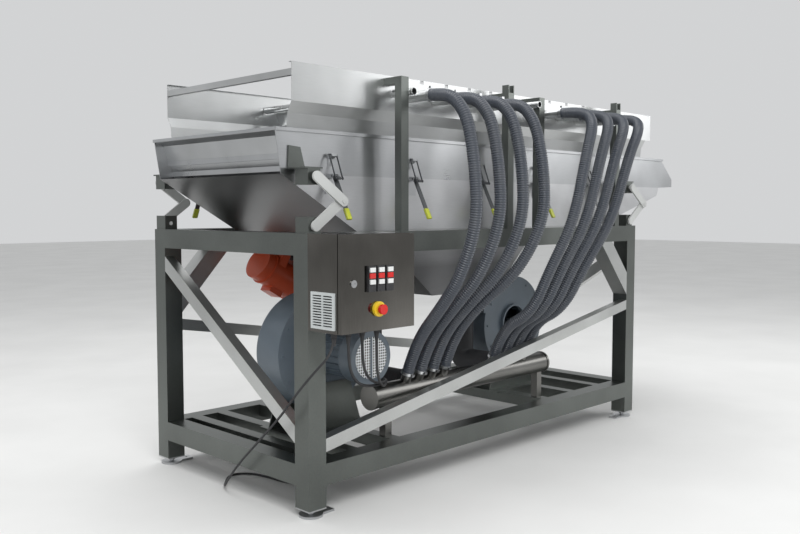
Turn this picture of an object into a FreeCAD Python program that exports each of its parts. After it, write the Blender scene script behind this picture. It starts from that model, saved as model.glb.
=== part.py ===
import FreeCAD, Part
import os
import re
import Sketcher
from math import cos, pi, sin, tan

# Vibrating trough feeder with an air-knife hood, two blowers and a control box.
# Units are millimetres. The origin is the middle of the footprint on the floor,
# +X runs along the trough to its outlet, +Y points to the rear and +Z is up.

os.makedirs("parts", exist_ok=True)
doc = FreeCAD.newDocument("Feeder")
Vec = FreeCAD.Vector

# Driving sizes. A text that starts with an equals sign is worked out in the sheet.
SIZES = {
    # frame
    "frame_long": "2530",
    "frame_wide": "1170",
    "frame_top": "1156",
    "tube_side": "90",
    "tube_wall": "4",
    "foot_rise": "36",
    "low_rail": "126",
    "deck_side": "60",
    "deck_wall": "3",
    "brace_side": "50",
    "brace_cut": "55",
    "brace_low": "319",
    "brace_high": "713",
    "end_cut": "72",
    "end_low": "301",
    "end_high": "954",
    "knee_run": "171",
    "knee_drop": "188",
    "knee_cut": "119",
    "anchor_hole": "6.5",
    "out_x": "=frame_long / 2",
    "out_y": "=frame_wide / 2",
    "in_x": "=frame_long / 2 - tube_side",
    "in_y": "=frame_wide / 2 - tube_side",
    "deck_top": "=low_rail + tube_side",
    "anchor_x": "=out_x - 125",
    "anchor_y": "=out_y - tube_side / 2",
    # trough and pan, which vibrate
    "trough_face": "465",
    "trough_sheet": "3",
    "trough_left": "1330",
    "trough_right": "1800",
    "fold": "=frame_top + 237",
    "trough_top": "=fold + 185",
    "screen_level": "=fold + 35",
    "hem": "10",
    "chute_end": "=trough_right + 138",
    "pan_left": "=trough_left - 30",
    "pan_right": "=trough_right - 40",
    "bar_pitch": "=(pan_left + pan_right - 300) / 6",
    "slot_pitch": "=(pan_left + pan_right - 254) / 23",
    "pan_low": "=frame_top - 314",
    "pan_knee_x": "538",
    "pan_knee_z": "=pan_low + 108",
    "drain_x": "160",
    "drain_r": "57.15",
    "drain_end": "=pan_low - 70",
    "pan_slope": "=atan2(fold - pan_knee_z; pan_left - pan_knee_x)",
    # hood on its posts
    "post_mid": "168",
    "post_pair": "130",
    "post_far": "884",
    "post_x": "45",
    "post_y": "40",
    "hood_left": "=trough_left - 80",
    "hood_right": "=trough_right - 175",
    "hood_face": "=trough_face + 9",
    "hood_top": "=trough_top + 264",
    "hood_bend": "=hood_top - 156",
    "skirt_bend": "=hood_top - 202",
    "skirt_end": "=hood_top - 282",
    "skirt_in": "36",
    "post_top": "=hood_top - 15",
    "sheet": "2",
    "bar_tube": "16.85",
    # vibrators under the sloping plate
    "vib_r": "85",
    "vib_half": "150",
    "vib_y": "370",
    "vib_down": "780",
    "vib_gap": "108",
    # rocking arms
    "rock_left": "1225",
    "rock_right": "1200",
    "rock_low": "=frame_top + 29",
    "rock_high": "=fold - 12",
    "rock_knee": "=(rock_low + rock_high) / 2 + 1",
    "rock_reach": "138",
    "arm_wide": "43",
    "arm_in": "=out_y - 2",
    "arm_thick": "10.5",
    "housing": "32",
    "arm_pin": "10",
    # latches
    "latch_first": "1041",
    "latch_pitch": "485.25",
    "latch_y": "492",
    "latch_z": "=fold - 3",
    "lever_long": "200",
    "lever_lean": "27",
    "bail_arm": "30",
    "bail_dip": "20",
    "bail_top": "=fold + 87",
    "bail_top_y": "482",
    # control box
    "box_left": "=out_x",
    "box_right": "=box_left - 400",
    "box_front": "=out_y + 176",
    "door_back": "=box_front + 4",
    "door_front": "=door_back + 20",
    "box_low": "=frame_top - 384",
    "station_mid": "=box_left - 199",
    "station_pitch": "48.5",
    "station_z": "=box_low + 208",
    "station_deep": "12",
    # blowers, manifold and hoses
    "blower_left": "808",
    "blower_right": "610",
    "blower_z": "592",
    "volute_r": "270",
    "volute_shift": "16",
    "volute_rim": "26",
    "volute_front": "165",
    "volute_back": "15",
    "volute_wall": "4",
    "wheel_r": "190",
    "shaft_r": "14",
    "motor_long": "300",
    "motor_r": "98",
    "fin": "9",
    "cowl_r": "120",
    "cowl_long": "95",
    "vent_r": "90",
    "outlet_z": "=blower_z + 156",
    "duct_r": "68.5",
    "duct_x": "=blower_left - 350",
    "duct_x_right": "=blower_right - 350",
    "blow_y": "75",
    "main_y": "435",
    "main_z": "406",
    "main_r": "55",
    "main_left": "790",
    "main_right": "520",
    "stub_first": "578",
    "stub_second": "60",
    "stub_pitch": "86",
    "stub_r": "24.15",
    "stub_long": "85",
    "stub_lean": "20",
    "hose_r": "28",
    "knife_z": "=hood_top - 85",
    "knife_first": "577",
    "knife_second": "440",
    "knife_pitch": "169.5",
    "knife_end": "600",
    # supply cord
    "cord_r": "5",
    "cord_x": "=box_left - 35",
    "cord_y": "=box_front - 61",
}

sheet = doc.addObject("Spreadsheet::Sheet", "Sizes")
for row, (alias, text) in enumerate(SIZES.items(), start=1):
    sheet.set("A%d" % row, alias)
    sheet.set("B%d" % row, text)
    sheet.setAlias("B%d" % row, alias)
doc.recompute()

WORD = re.compile(r"[A-Za-z_]+")


def bound(text):
    """Turns sheet names in an expression into references to the sheet."""
    return WORD.sub(lambda m: "Sizes." + m.group(0) if m.group(0) in SIZES else m.group(0), text)


def size(alias):
    """A size as a plain number, for the swept routes."""
    return float(getattr(sheet.get(alias), "Value", sheet.get(alias)))


def side(sign, inner, outer):
    """The span from inner to outer on the plus or minus side of a middle plane."""
    if sign > 0:
        return (inner, outer)
    return ("-(%s)" % outer, "-(%s)" % inner)


def about(middle, half):
    """The span of half a width either way of a middle."""
    return ("(%s) - (%s)" % (middle, half), "(%s) + (%s)" % (middle, half))


def signed(sign, text):
    return text if sign > 0 else "-(%s)" % text


def place(obj, x, y, z):
    for axis, text in (("x", x), ("y", y), ("z", z)):
        obj.setExpression("Placement.Base." + axis, bound(text))


def block(name, x, y, z):
    """A box between pairs of size expressions."""
    box = doc.addObject("Part::Box", name)
    for field, span in (("Length", x), ("Width", y), ("Height", z)):
        box.setExpression(field, bound("(%s) - (%s)" % (span[1], span[0])))
    place(box, x[0], y[0], z[0])
    return box


TURN = {
    "x": FreeCAD.Rotation(Vec(0, 1, 0), 90),
    "y": FreeCAD.Rotation(Vec(1, 0, 0), -90),
    "z": FreeCAD.Rotation(),
}


def rod(name, axis, start, end, across, radius):
    """A round bar along an axis, from start to end, at two other coordinates."""
    bar = doc.addObject("Part::Cylinder", name)
    bar.Placement = FreeCAD.Placement(Vec(), TURN[axis])
    bar.setExpression("Radius", bound(radius))
    bar.setExpression("Height", bound("(%s) - (%s)" % (end, start)))
    where = {"x": (start, across[0], across[1]), "y": (across[0], start, across[1]),
             "z": (across[0], across[1], start)}[axis]
    place(bar, *where)
    return bar


def cut(name, base, tool):
    obj = doc.addObject("Part::Cut", name)
    obj.Base = base
    obj.Tool = tool
    return obj


def fuse(name, members):
    obj = doc.addObject("Part::MultiFuse", name)
    obj.Shapes = members
    return obj


def group(name, members):
    obj = doc.addObject("Part::Compound", name)
    obj.Links = members
    return obj


def rounded(name, base, radius):
    """A round bar with both end rims rounded off."""
    obj = doc.addObject("Part::Fillet", name)
    obj.Base = base
    obj.Edges = [(1, radius, radius), (3, radius, radius)]
    return obj


def tube(name, axis, x, y, z, wall, end="1"):
    """A square tube, open at both ends unless the ends get a negative reach."""
    spans = {"x": x, "y": y, "z": z}
    inner = {}
    for key, span in spans.items():
        grow = end if key == axis else "-(%s)" % wall
        inner[key] = ("(%s) - (%s)" % (span[0], grow), "(%s) + (%s)" % (span[1], grow))
    solid = block(name + "_full", x, y, z)
    hollow = block(name + "_void", inner["x"], inner["y"], inner["z"])
    return cut(name, solid, hollow)


def pipe(name, axis, start, end, across, radius, bore):
    solid = rod(name + "_full", axis, start, end, across, radius)
    hollow = rod(name + "_void", axis, "(%s) - 1" % start, "(%s) + 1" % end, across, bore)
    return cut(name, solid, hollow)


PLANES = {"y": "XZ_Plane", "x": "YZ_Plane"}


def panel(name, normal, points, low, high):
    """A flat outline between two levels of its normal axis, as a padded sketch."""
    body = doc.addObject("PartDesign::Body", name)
    sketch = body.newObject("Sketcher::SketchObject", name + "_sketch")
    plane = [f for f in body.Origin.OriginFeatures if f.Role == PLANES[normal]][0]
    sketch.AttachmentSupport = [(plane, "")]
    sketch.MapMode = "FlatFace"
    offset = "-(%s)" % high if normal == "y" else low
    sketch.setExpression("AttachmentOffset.Base.z", bound(offset))
    count = len(points)
    guess = [Vec(10 * cos(2 * pi * i / count), 10 * sin(2 * pi * i / count), 0) for i in range(count)]
    for i in range(count):
        sketch.addGeometry(Part.LineSegment(guess[i], guess[(i + 1) % count]), False)
    for i in range(count):
        sketch.addConstraint(Sketcher.Constraint("Coincident", i, 2, (i + 1) % count, 1))
    for i, (across, up) in enumerate(points):
        for kind, start, text in (("DistanceX", guess[i].x, across), ("DistanceY", guess[i].y, up)):
            index = sketch.addConstraint(Sketcher.Constraint(kind, -1, 1, i, 1, start))
            sketch.setExpression("Constraints[%d]" % index, bound(text))
    pad = body.newObject("PartDesign::Pad", name + "_pad")
    pad.Profile = sketch
    pad.Reversed = normal == "y"
    if normal == "y":
        sketch.setExpression("AttachmentOffset.Base.z", bound("-(%s)" % low))
    pad.setExpression("Length", bound("(%s) - (%s)" % (high, low)))
    body.Tip = pad
    return body


def tilt(obj, axis, angle, x, y, z):
    """Turns a piece about an axis by a size expression and sets it in place."""
    obj.Placement = FreeCAD.Placement(Vec(), FreeCAD.Rotation(Vec(*axis), 10))
    obj.setExpression("Placement.Rotation.Angle", bound(angle))
    place(obj, x, y, z)
    return obj


def bent_path(points):
    """Straight runs joined by tangent arcs, and the radius of the tightest arc."""
    stops = [Vec(*p) for p in points]
    edges = []
    start = stops[0]
    tightest = 1e9
    for before, corner, after in zip(stops, stops[1:], stops[2:]):
        back = before - corner
        ahead = after - corner
        half = (pi - back.getAngle(ahead)) / 2
        reach = 0.45 * min(back.Length, ahead.Length)
        bend = reach / tan(half)
        tightest = min(tightest, bend)
        first = corner + back.normalize() * reach
        last = corner + ahead.normalize() * reach
        inward = (back + ahead).normalize()
        middle = corner + inward * (bend / cos(half) - bend)
        edges.append(Part.LineSegment(start, first).toShape())
        edges.append(Part.Arc(first, middle, last).toShape())
        start = last
    edges.append(Part.LineSegment(start, stops[-1]).toShape())
    return edges, tightest


def sweep(name, edges, heading, radius):
    """A round solid along a path, with its volume compared with section times length."""
    path = Part.Wire(edges)
    start = edges[0].Vertexes[0].Point
    section = Part.Wire([Part.Circle(start, heading, radius).toShape()])
    solid = path.makePipeShell([section], True, False, 2)
    ideal = pi * radius * radius * path.Length
    print("%s: length %.0f mm, volume/ideal %.4f" % (name, path.Length, solid.Volume / ideal))
    obj = doc.addObject("Part::Feature", name)
    obj.Shape = solid
    return obj


def route(name, points, radius):
    """A round cord or hose through a list of points."""
    edges, tightest = bent_path(points)
    print("%s: tightest bend %.0f mm" % (name, tightest))
    return sweep(name, edges, Vec(*points[1]) - Vec(*points[0]), radius)


NODES = []


def node(label, obj):
    obj.Label = label
    NODES.append(obj)
    return obj


SIDES = (-1, 1)


def frame_legs():
    legs = []
    for sx in SIDES:
        for sy in SIDES:
            name = "leg_%d_%d" % (sx + 1, sy + 1)
            legs.append(tube(name, "z", side(sx, "in_x", "out_x"), side(sy, "in_y", "out_y"),
                             ("foot_rise", "frame_top - tube_side"), "tube_wall"))
    node("frame_legs", group("legs", legs))


def frame_rails():
    rails = []
    top = ("frame_top - tube_side", "frame_top")
    low = ("low_rail", "deck_top")
    for s in SIDES:
        across = side(s, "in_y", "out_y")
        along = side(s, "in_x", "out_x")
        rails.append(tube("top_long_%d" % (s + 1), "x", ("-out_x", "out_x"), across, top, "tube_wall",
                          "-tube_wall"))
        rails.append(tube("low_long_%d" % (s + 1), "x", ("-in_x", "in_x"), across, low, "tube_wall"))
        rails.append(tube("top_end_%d" % (s + 1), "y", along, ("-in_y", "in_y"), top, "tube_wall"))
        rails.append(tube("low_end_%d" % (s + 1), "y", along, ("-in_y", "in_y"), low, "tube_wall"))
    node("frame_rails", group("rails", rails))


DECK_PLACES = ("-1100", "-950", "-690", "480", "740", "1000")


def deck_crossmembers():
    bars = []
    for i, middle in enumerate(DECK_PLACES):
        bars.append(tube("deck_%d" % i, "y", about(middle, "deck_side / 2"), ("-in_y", "in_y"),
                         ("deck_top - deck_side", "deck_top"), "deck_wall"))
    node("deck_crossmembers", group("deck_bars", bars))


def hollow_panel(name, normal, points, void, low, high):
    """A slanting tube cut to meet upright faces."""
    solid = panel(name + "_full", normal, points, low, high)
    inner = panel(name + "_void", normal, void, "(%s) + deck_wall" % low, "(%s) - deck_wall" % high)
    return cut(name, solid, inner)


def frame_braces():
    braces = []
    for s in SIDES:
        left = signed(s, "in_x")
        right = signed(s, "-in_x")
        low = (left, "brace_high"), (right, "brace_low")
        outline = (low[0], low[1], (right, "brace_low - brace_cut"), (left, "brace_high - brace_cut"))
        void = ((left, "brace_high - 4"), (right, "brace_low - 4"),
                (right, "brace_low - brace_cut + 4"), (left, "brace_high - brace_cut + 4"))
        span = side(-s, "out_y - brace_side", "out_y")
        braces.append(hollow_panel("long_brace_%d" % (s + 1), "y", outline, void, *span))
        # end braces slope from the rear left leg and the front right leg
        near = signed(s, "in_y")
        far = signed(s, "-in_y")
        outline = ((near, "end_low"), (far, "end_high"), (far, "end_high + end_cut"),
                   (near, "end_low + end_cut"))
        void = ((near, "end_low + 4"), (far, "end_high + 4"), (far, "end_high + end_cut - 4"),
                (near, "end_low + end_cut - 4"))
        span = side(s, "out_x - brace_side", "out_x")
        braces.append(hollow_panel("end_brace_%d" % (s + 1), "x", outline, void, *span))
        for t in SIDES:
            leg = signed(t, "in_x")
            inner = signed(t, "in_x - knee_run")
            outer = signed(t, "in_x - knee_run - knee_cut")
            under = "frame_top - tube_side"
            outline = ((leg, under + " - knee_drop"), (inner, under), (outer, under),
                       (leg, under + " - knee_drop - 130"))
            inner_in = signed(t, "in_x - knee_run - 6")
            outer_in = signed(t, "in_x - knee_run - knee_cut + 6")
            void = ((leg, under + " - knee_drop - 7"), (inner_in, under), (outer_in, under),
                    (leg, under + " - knee_drop - 123"))
            span = side(s, "in_y", "out_y")
            braces.append(hollow_panel("knee_%d_%d" % (s + 1, t + 1), "y", outline, void, *span))
    node("frame_braces", group("braces", braces))


def levelling_feet():
    feet = []
    for sx in SIDES:
        for sy in SIDES:
            n = "foot_%d_%d" % (sx + 1, sy + 1)
            x = signed(sx, "out_x - tube_side / 2")
            y = signed(sy, "out_y - tube_side / 2")
            disc = rod(n + "_disc", "z", "0", "10", (x, y), "50")
            ear = block(n + "_ear", side(sx, "anchor_x - 25", "out_x - tube_side / 2"),
                        about(y, "25"), ("0", "10"))
            screw = rod(n + "_screw", "z", "5", "foot_rise - 3", (x, y), "10")
            nut = rod(n + "_nut", "z", "16", "foot_rise - 6", (x, y), "15")
            cap = block(n + "_cap", side(sx, "in_x", "out_x"), side(sy, "in_y", "out_y"),
                        ("foot_rise - 6", "foot_rise"))
            solid = fuse(n + "_solid", [disc, ear, screw, nut, cap])
            hole = rod(n + "_hole", "z", "-1", "11", (signed(sx, "anchor_x"), signed(sy, "anchor_y")),
                       "anchor_hole")
            feet.append(cut(n, solid, hole))
    node("levelling_feet", group("feet", feet))


POST_PLACES = ("post_mid - post_far", "post_mid - post_pair", "post_mid + post_pair",
               "post_mid + post_far")


def hood_posts():
    posts = []
    for i, middle in enumerate(POST_PLACES):
        for s in SIDES:
            n = "post_%d_%d" % (i, s + 1)
            upright = tube(n + "_tube", "z", about(middle, "post_x / 2"),
                           side(s, "out_y - post_y", "out_y"), ("frame_top", "post_top"), "deck_wall")
            arm = block(n + "_arm", about(middle, "post_x / 2"),
                        side(s, "hood_face", "out_y - post_y"), ("post_top - 30", "post_top"))
            cap = block(n + "_cap", about(middle, "post_x / 2"),
                        side(s, "out_y - post_y", "out_y"), ("post_top - 4", "post_top"))
            members = [upright, cap]
            if i in (1, 3):
                for t in SIDES:
                    members.append(block(n + "_fork_%d" % (t + 1),
                                         about("(%s) + %d * (post_x / 2 - 3)" % (middle, t), "3"),
                                         side(s, "out_y - post_y", "out_y"),
                                         ("post_top", "post_top + 38")))
            posts += [fuse(n, members), arm]
    node("hood_posts", group("posts", posts))


NOTCHES = ("-492", "-322", "-153", "13", "522", "683", "852")
BAR_PLACES = (("post_mid - post_far + post_x / 2 + 19", "hood_top - 76"),
              ("post_mid + post_pair - post_x / 2 - 19", "hood_top - 54"))


def knife_places():
    first = ["-knife_first + %d * knife_pitch" % i for i in range(4)]
    return first + ["knife_second + %d * knife_pitch" % i for i in range(4)]


def hood_walls():
    walls = []
    for s in SIDES:
        n = "hood_%d" % (s + 1)
        outer = (("hood_face", "hood_top"), ("hood_face", "hood_bend"),
                 ("hood_face - 27", "skirt_bend"), ("hood_face - skirt_in", "skirt_end"))
        inner = (("hood_face - skirt_in - sheet", "skirt_end"), ("hood_face - 27 - sheet", "skirt_bend + 1"),
                 ("hood_face - sheet", "hood_bend + 1"), ("hood_face - sheet", "hood_top - sheet"),
                 ("hood_face - 18", "hood_top - sheet"), ("hood_face - 18", "hood_top"))
        outline = [(signed(s, y), z) for y, z in outer + inner]
        wall = panel(n + "_sheet", "x", outline, "-hood_left", "hood_right")
        gaps = [block(n + "_end", ("hood_right - 60", "hood_right + 1"),
                      side(s, "hood_face - 80", "hood_face + 10"), ("skirt_end - 1", "hood_bend"))]
        for i, x in enumerate(NOTCHES):
            gaps.append(block(n + "_notch_%d" % i, about(x, "12"),
                              side(s, "hood_face - 30", "hood_face + 1"),
                              ("hood_top - 16", "hood_top + 1")))
        for i, (x, z) in enumerate(BAR_PLACES):
            gaps.append(rod(n + "_bar_hole_%d" % i, "y", *side(s, "hood_face - 20", "hood_face + 20"),
                            (x, z), "bar_tube + 3"))
        if s < 0:
            for i, x in enumerate(knife_places()):
                gaps.append(rod(n + "_knife_hole_%d" % i, "y", "-hood_face - 20", "-hood_face + 20",
                                (x, "knife_z"), "stub_r + 0.8"))
        walls.append(cut(n, wall, fuse(n + "_gaps", gaps)))
    node("hood_walls", group("hood_pair", walls))


def hood_cross_bars():
    bars = [block("end_bar", ("-hood_left", "-hood_left + 20"),
                  ("-hood_face + sheet", "hood_face - sheet"), ("hood_top - 55", "hood_top - 28"))]
    for i, (x, z) in enumerate(BAR_PLACES):
        shift = -19 if i == 0 else 19
        n = "cross_tube_%d" % i
        solid = [rod(n + "_full", "y", "-out_y - 15", "out_y + 15", (x, z), "bar_tube")]
        for s in SIDES:
            lug_x = about("(%s) + (%d)" % (x, shift * 0.68), "6.08")
            solid.append(block(n + "_lug_%d" % (s + 1), lug_x, side(s, "out_y - post_y", "out_y"),
                               about(z, "12")))
        void = rod(n + "_void", "y", "-out_y - 16", "out_y + 16", (x, z), "bar_tube - 2.5")
        bars.append(cut(n, fuse(n + "_solid", solid), void))
    node("hood_cross_bars", group("cross_bars", bars))


def air_knives():
    knives = []
    face = "hood_face - sheet"
    for i, x in enumerate(knife_places()):
        n = "knife_%d" % i
        spigot = rod(n + "_spigot", "y", "-knife_end", "-hood_face + 30", (x, "knife_z"), "stub_r")
        drum = rod(n + "_drum", "y", "-hood_face + sheet", face, (x, "knife_z"), "30")
        points = [("(%s) + %s" % (x, dx), "knife_z + %s" % dz)
                  for dx, dz in (("-27", "-14"), ("27", "-14"), ("3", "-64"), ("-3", "-64"))]
        lip = panel(n + "_lip", "y", points, "-hood_face + sheet", face)
        bore = rod(n + "_bore", "y", "-knife_end - 1", "hood_face - 30", (x, "knife_z"), "stub_r - 3")
        slot = block(n + "_slot", about(x, "1"), ("-hood_face + 20", "hood_face - 20"),
                     ("knife_z - 66", "knife_z"))
        knives.append(cut(n, fuse(n + "_solid", [spigot, drum, lip]), fuse(n + "_gaps", [bore, slot])))
    node("air_knives", group("knives", knives))


def rocker_places():
    return (("left", "-rock_left"), ("right", "rock_right"))


def mounts_of_arms():
    bases = []
    brackets = []
    for name, x in rocker_places():
        for s in SIDES:
            n = "%s_%d" % (name, s + 1)
            foot = block("base_" + n + "_block", about(x, "housing"), side(s, "in_y + 5", "arm_in - 3"),
                         ("frame_top", "frame_top + 65"))
            bore = rod("base_" + n + "_bore", "y", *side(s, "in_y + 4", "arm_in + 1"), (x, "rock_low"),
                       "arm_pin + 0.06")
            bases.append(cut("base_" + n, foot, bore))
            upper = block("top_" + n + "_block", about(x, "housing"),
                          side(s, "trough_face + 35", "arm_in - 3"), about("rock_high", "housing"))
            hole = rod("top_" + n + "_bore", "y", *side(s, "trough_face + 34", "arm_in + 1"),
                       (x, "rock_high"), "arm_pin + 0.06")
            shelf = block("top_" + n + "_shelf", about(x, "45"), side(s, "trough_face", "arm_in - 3"),
                          ("rock_high + housing", "rock_high + housing + 6"))
            plate = panel("top_" + n + "_plate", "y",
                          (("(%s) - 45" % x, "rock_high + housing"),
                           ("(%s) + 45" % x, "rock_high + housing"),
                           ("(%s) + 20" % x, "rock_high + 122"), ("(%s) - 40" % x, "rock_high + 127")),
                          *side(s, "trough_face", "trough_face + 6"))
            solid = fuse("top_" + n + "_solid", [upper, shelf, plate])
            brackets.append(cut("top_" + n, solid, hole))
    node("mount_bases", group("bases", bases))
    node("mount_brackets", group("brackets", brackets))


def arm_plate(name, x, low, high, across, sign):
    """A flat arm with round ends between the knee and a pivot above or below it."""
    knee_x = "(%s) + rock_reach" % x
    ends = [rod(name + "_end_low", "y", across[0], across[1], low, "arm_wide / 2"),
            rod(name + "_end_high", "y", across[0], across[1], high, "arm_wide / 2")]
    # the offset of the arm's edges from its middle line
    dx = "(arm_wide / 2 * (rock_knee - rock_low) / sqrt(rock_reach ^ 2 + (rock_knee - rock_low) ^ 2))"
    dz = "(arm_wide / 2 * rock_reach / sqrt(rock_reach ^ 2 + (rock_knee - rock_low) ^ 2))"
    points = (("(%s) - %s * (%d)" % (low[0], dx, sign), "(%s) + %s" % (low[1], dz)),
              ("(%s) - %s * (%d)" % (high[0], dx, sign), "(%s) + %s" % (high[1], dz)),
              ("(%s) + %s * (%d)" % (high[0], dx, sign), "(%s) - %s" % (high[1], dz)),
              ("(%s) + %s * (%d)" % (low[0], dx, sign), "(%s) - %s" % (low[1], dz)))
    return ends + [panel(name + "_web", "y", points, *across)]


def arms():
    for name, x in rocker_places():
        knee = ("(%s) + rock_reach" % x, "rock_knee")
        lower = []
        upper = []
        for s in SIDES:
            n = "%s_%d" % (name, s + 1)
            inner = side(s, "arm_in", "arm_in + arm_thick")
            outer = side(s, "arm_in + arm_thick + 0.5", "arm_in + arm_thick * 2 + 0.5")
            low = arm_plate("lower_" + n, x, (x, "rock_low"), knee, inner, 1)
            low.append(rod("lower_" + n + "_pin", "y", *side(s, "503", "arm_in + 1"),
                           (x, "rock_low"), "arm_pin"))
            low.append(rod("lower_" + n + "_knee", "y", *side(s, "arm_in", "arm_in + arm_thick * 2 + 3"),
                           knee, "arm_pin"))
            lower.append(fuse("lower_" + n, low))
            high = arm_plate("upper_" + n, x, knee, (x, "rock_high"), outer, -1)
            high.append(rod("upper_" + n + "_pin", "y", *side(s, "503", "arm_in + arm_thick + 2"),
                            (x, "rock_high"), "arm_pin"))
            hole = rod("upper_" + n + "_hole", "y", *side(s, "arm_in", "arm_in + arm_thick * 2 + 3"),
                       knee, "arm_pin + 0.1")
            upper.append(cut("upper_" + n, fuse("upper_" + n + "_solid", high), hole))
        node("lower_arms_" + name, group("lower_pair_" + name, lower))
        node("upper_arms_" + name, group("upper_pair_" + name, upper))


def rise(share):
    """A level between the pan's low flat and the fold line."""
    return "pan_low + (fold - pan_low) * %s" % share


PAN_POINTS = (("-pan_left", "fold"), ("-pan_knee_x", "pan_knee_z"), ("-pan_knee_x + 132", "pan_low"),
              ("-drain_x + 250", "pan_low"), ("330", rise(0.4065)), ("1000", rise(0.5408)),
              ("pan_right - 174", rise(0.8294)), ("pan_right - 24", rise(0.9056)),
              ("pan_right - 3", rise(0.9673)), ("pan_right", "fold"))


def trough_shell():
    members = []
    for s in SIDES:
        n = "wall_%d" % (s + 1)
        members.append(panel(n, "y", (("-trough_left", "trough_top"), ("-pan_left", "fold"),
                                      ("pan_right", "fold"), ("trough_right", "trough_top")),
                             *side(s, "trough_face - trough_sheet", "trough_face")))
        members.append(block(n + "_hem", ("-trough_left", "trough_right"),
                             side(s, "trough_face - trough_sheet", "trough_face + hem"),
                             ("trough_top - 14", "trough_top")))
        members.append(block(n + "_ledge", ("-pan_left + 100", "pan_right - 4"),
                             side(s, "trough_face - 28", "trough_face"), ("fold", "fold + 3")))
        members.append(panel(n + "_cheek", "y",
                             (("trough_right - 4", "trough_top - 10"), ("pan_right", "fold"),
                              ("chute_end", "fold + 8"), ("chute_end", "fold + 56")),
                             *side(s, "trough_face - trough_sheet", "trough_face")))
    inside = ("-trough_face + 1", "trough_face - 1")
    members.append(block("left_bar", ("-trough_left", "-trough_left + 14"), inside,
                         ("trough_top - 14", "trough_top")))
    members.append(panel("left_plate", "y",
                         (("-trough_left + 6", "trough_top - 8"), ("-trough_left + 46", "trough_top - 30"),
                          ("-pan_left + 78", "fold"), ("-pan_left + 81", "fold"),
                          ("-trough_left + 49", "trough_top - 28"),
                          ("-trough_left + 12", "trough_top - 6")), *inside))
    members.append(block("left_band_upper", ("-pan_left + 43", "-pan_left + 53"), inside,
                         ("fold + 63", "fold + 86")))
    members.append(block("left_band_lower", ("-pan_left + 63", "-pan_left + 78"), inside,
                         ("fold + 14", "fold + 36")))
    members.append(panel("chute_floor", "y",
                         (("pan_right - 3", "fold"), ("chute_end", "fold + 8"), ("chute_end", "fold + 11"),
                          ("pan_right - 3", "fold + 3")), *inside))
    node("trough_shell", fuse("trough", members))


def screen_deck():
    plate = block("screen_plate", ("-pan_left + 95", "pan_right - 10"),
                  ("-trough_face + 4", "trough_face - 4"), ("screen_level - 3", "screen_level"))
    bars = [plate]
    for i in range(7):
        bars.append(block("screen_bar_%d" % i, about("-pan_left + 200 + %d * bar_pitch" % i, "15"),
                          ("-trough_face + 4", "trough_face - 4"), ("fold + 3", "screen_level - 3")))
    slots = []
    for i in range(24):
        slots.append(block("slot_%d" % i, about("-pan_left + 140 + %d * slot_pitch" % i, "8"),
                           ("-trough_face + 65", "trough_face - 65"),
                           ("screen_level - 5", "screen_level + 5")))
    node("screen_deck", cut("screen", fuse("screen_solid", bars), fuse("slots", slots)))


def lower_pan():
    outer = panel("pan_outer", "y", PAN_POINTS, "-trough_face", "trough_face")
    lifted = [(x, "(%s) + 5" % z) for x, z in PAN_POINTS]
    lifted[-3] = ("pan_right - 27", rise(0.9056) + " + 5")
    lifted[-2] = ("pan_right - 7", rise(0.9673) + " + 3")
    lifted[-1] = ("pan_right - 4", "fold + 5")
    inner = panel("pan_inner", "y", lifted, "-trough_face + 4", "trough_face - 4")
    spout = rod("spout", "z", "drain_end", "pan_low + 3", ("-drain_x", "0"), "drain_r")
    bore = rod("spout_bore", "z", "drain_end - 1", "pan_low + 10", ("-drain_x", "0"), "drain_r - 3")
    shell = cut("pan_sheet", outer, inner)
    node("lower_pan", cut("pan", fuse("pan_solid", [shell, spout]), bore))


def vibrators():
    housings = []
    rotors = []
    slope = "(pan_slope)"
    centre_x = "-pan_left + vib_down * cos(%s) - vib_gap * sin(%s)" % (slope, slope)
    centre_z = "fold - vib_down * sin(%s) - vib_gap * cos(%s)" % (slope, slope)
    for s in SIDES:
        n = "vib_%d" % (s + 1)
        drum = rounded(n + "_soft", rod(n + "_drum", "x", "-vib_half", "vib_half", ("0", "0"), "vib_r"), 6)
        ribs = [rod(n + "_rib_%d" % (t + 1), "x", "%d * 96 - 4" % t, "%d * 96 + 4" % t, ("0", "0"),
                    "vib_r + 6") for t in SIDES]
        feet = [block(n + "_foot_%d" % (t + 1), about("%d * 60" % t, "24"), ("-80", "80"),
                      ("0", "vib_gap")) for t in SIDES]
        room = rod(n + "_room", "x", "-vib_half + 8", "vib_half - 8", ("0", "0"), "vib_r - 7")
        seat = rod(n + "_seat", "x", "-vib_half + 3", "vib_half - 3", ("0", "0"), "16.06")
        void = fuse(n + "_void", [room, seat])
        box = block(n + "_terminals", ("-40", "40"), ("-40", "40"), ("-vib_r - 20", "-vib_r + 10"))
        solid = cut(n, fuse(n + "_solid", [drum, box] + ribs + feet), void)
        tilt(solid, (0, 1, 0), "pan_slope", centre_x, signed(s, "vib_y"), centre_z)
        housings.append(solid)
        m = "rotor_%d" % (s + 1)
        shaft = rod(m + "_shaft", "x", "-vib_half + 3.5", "vib_half - 3.5", ("0", "0"), "16")
        core = rod(m + "_core", "x", "-60", "60", ("0", "0"), "45")
        members = [shaft, core]
        for t in SIDES:
            disc = rod(m + "_weight_%d" % (t + 1), "x", "%d * 105 - 20" % t, "%d * 105 + 20" % t,
                       ("0", "0"), "68")
            half = block(m + "_half_%d" % (t + 1), about("%d * 105" % t, "21"), ("-70", "70"), ("0", "70"))
            members.append(cut(m + "_ecc_%d" % (t + 1), disc, half))
        spin = fuse(m, members)
        tilt(spin, (0, 1, 0), "pan_slope", centre_x, signed(s, "vib_y"), centre_z)
        rotors.append(spin)
    node("vibrator_housings", group("vib_pair", housings))
    node("rotor_front", rotors[0])
    node("rotor_rear", rotors[1])


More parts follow.
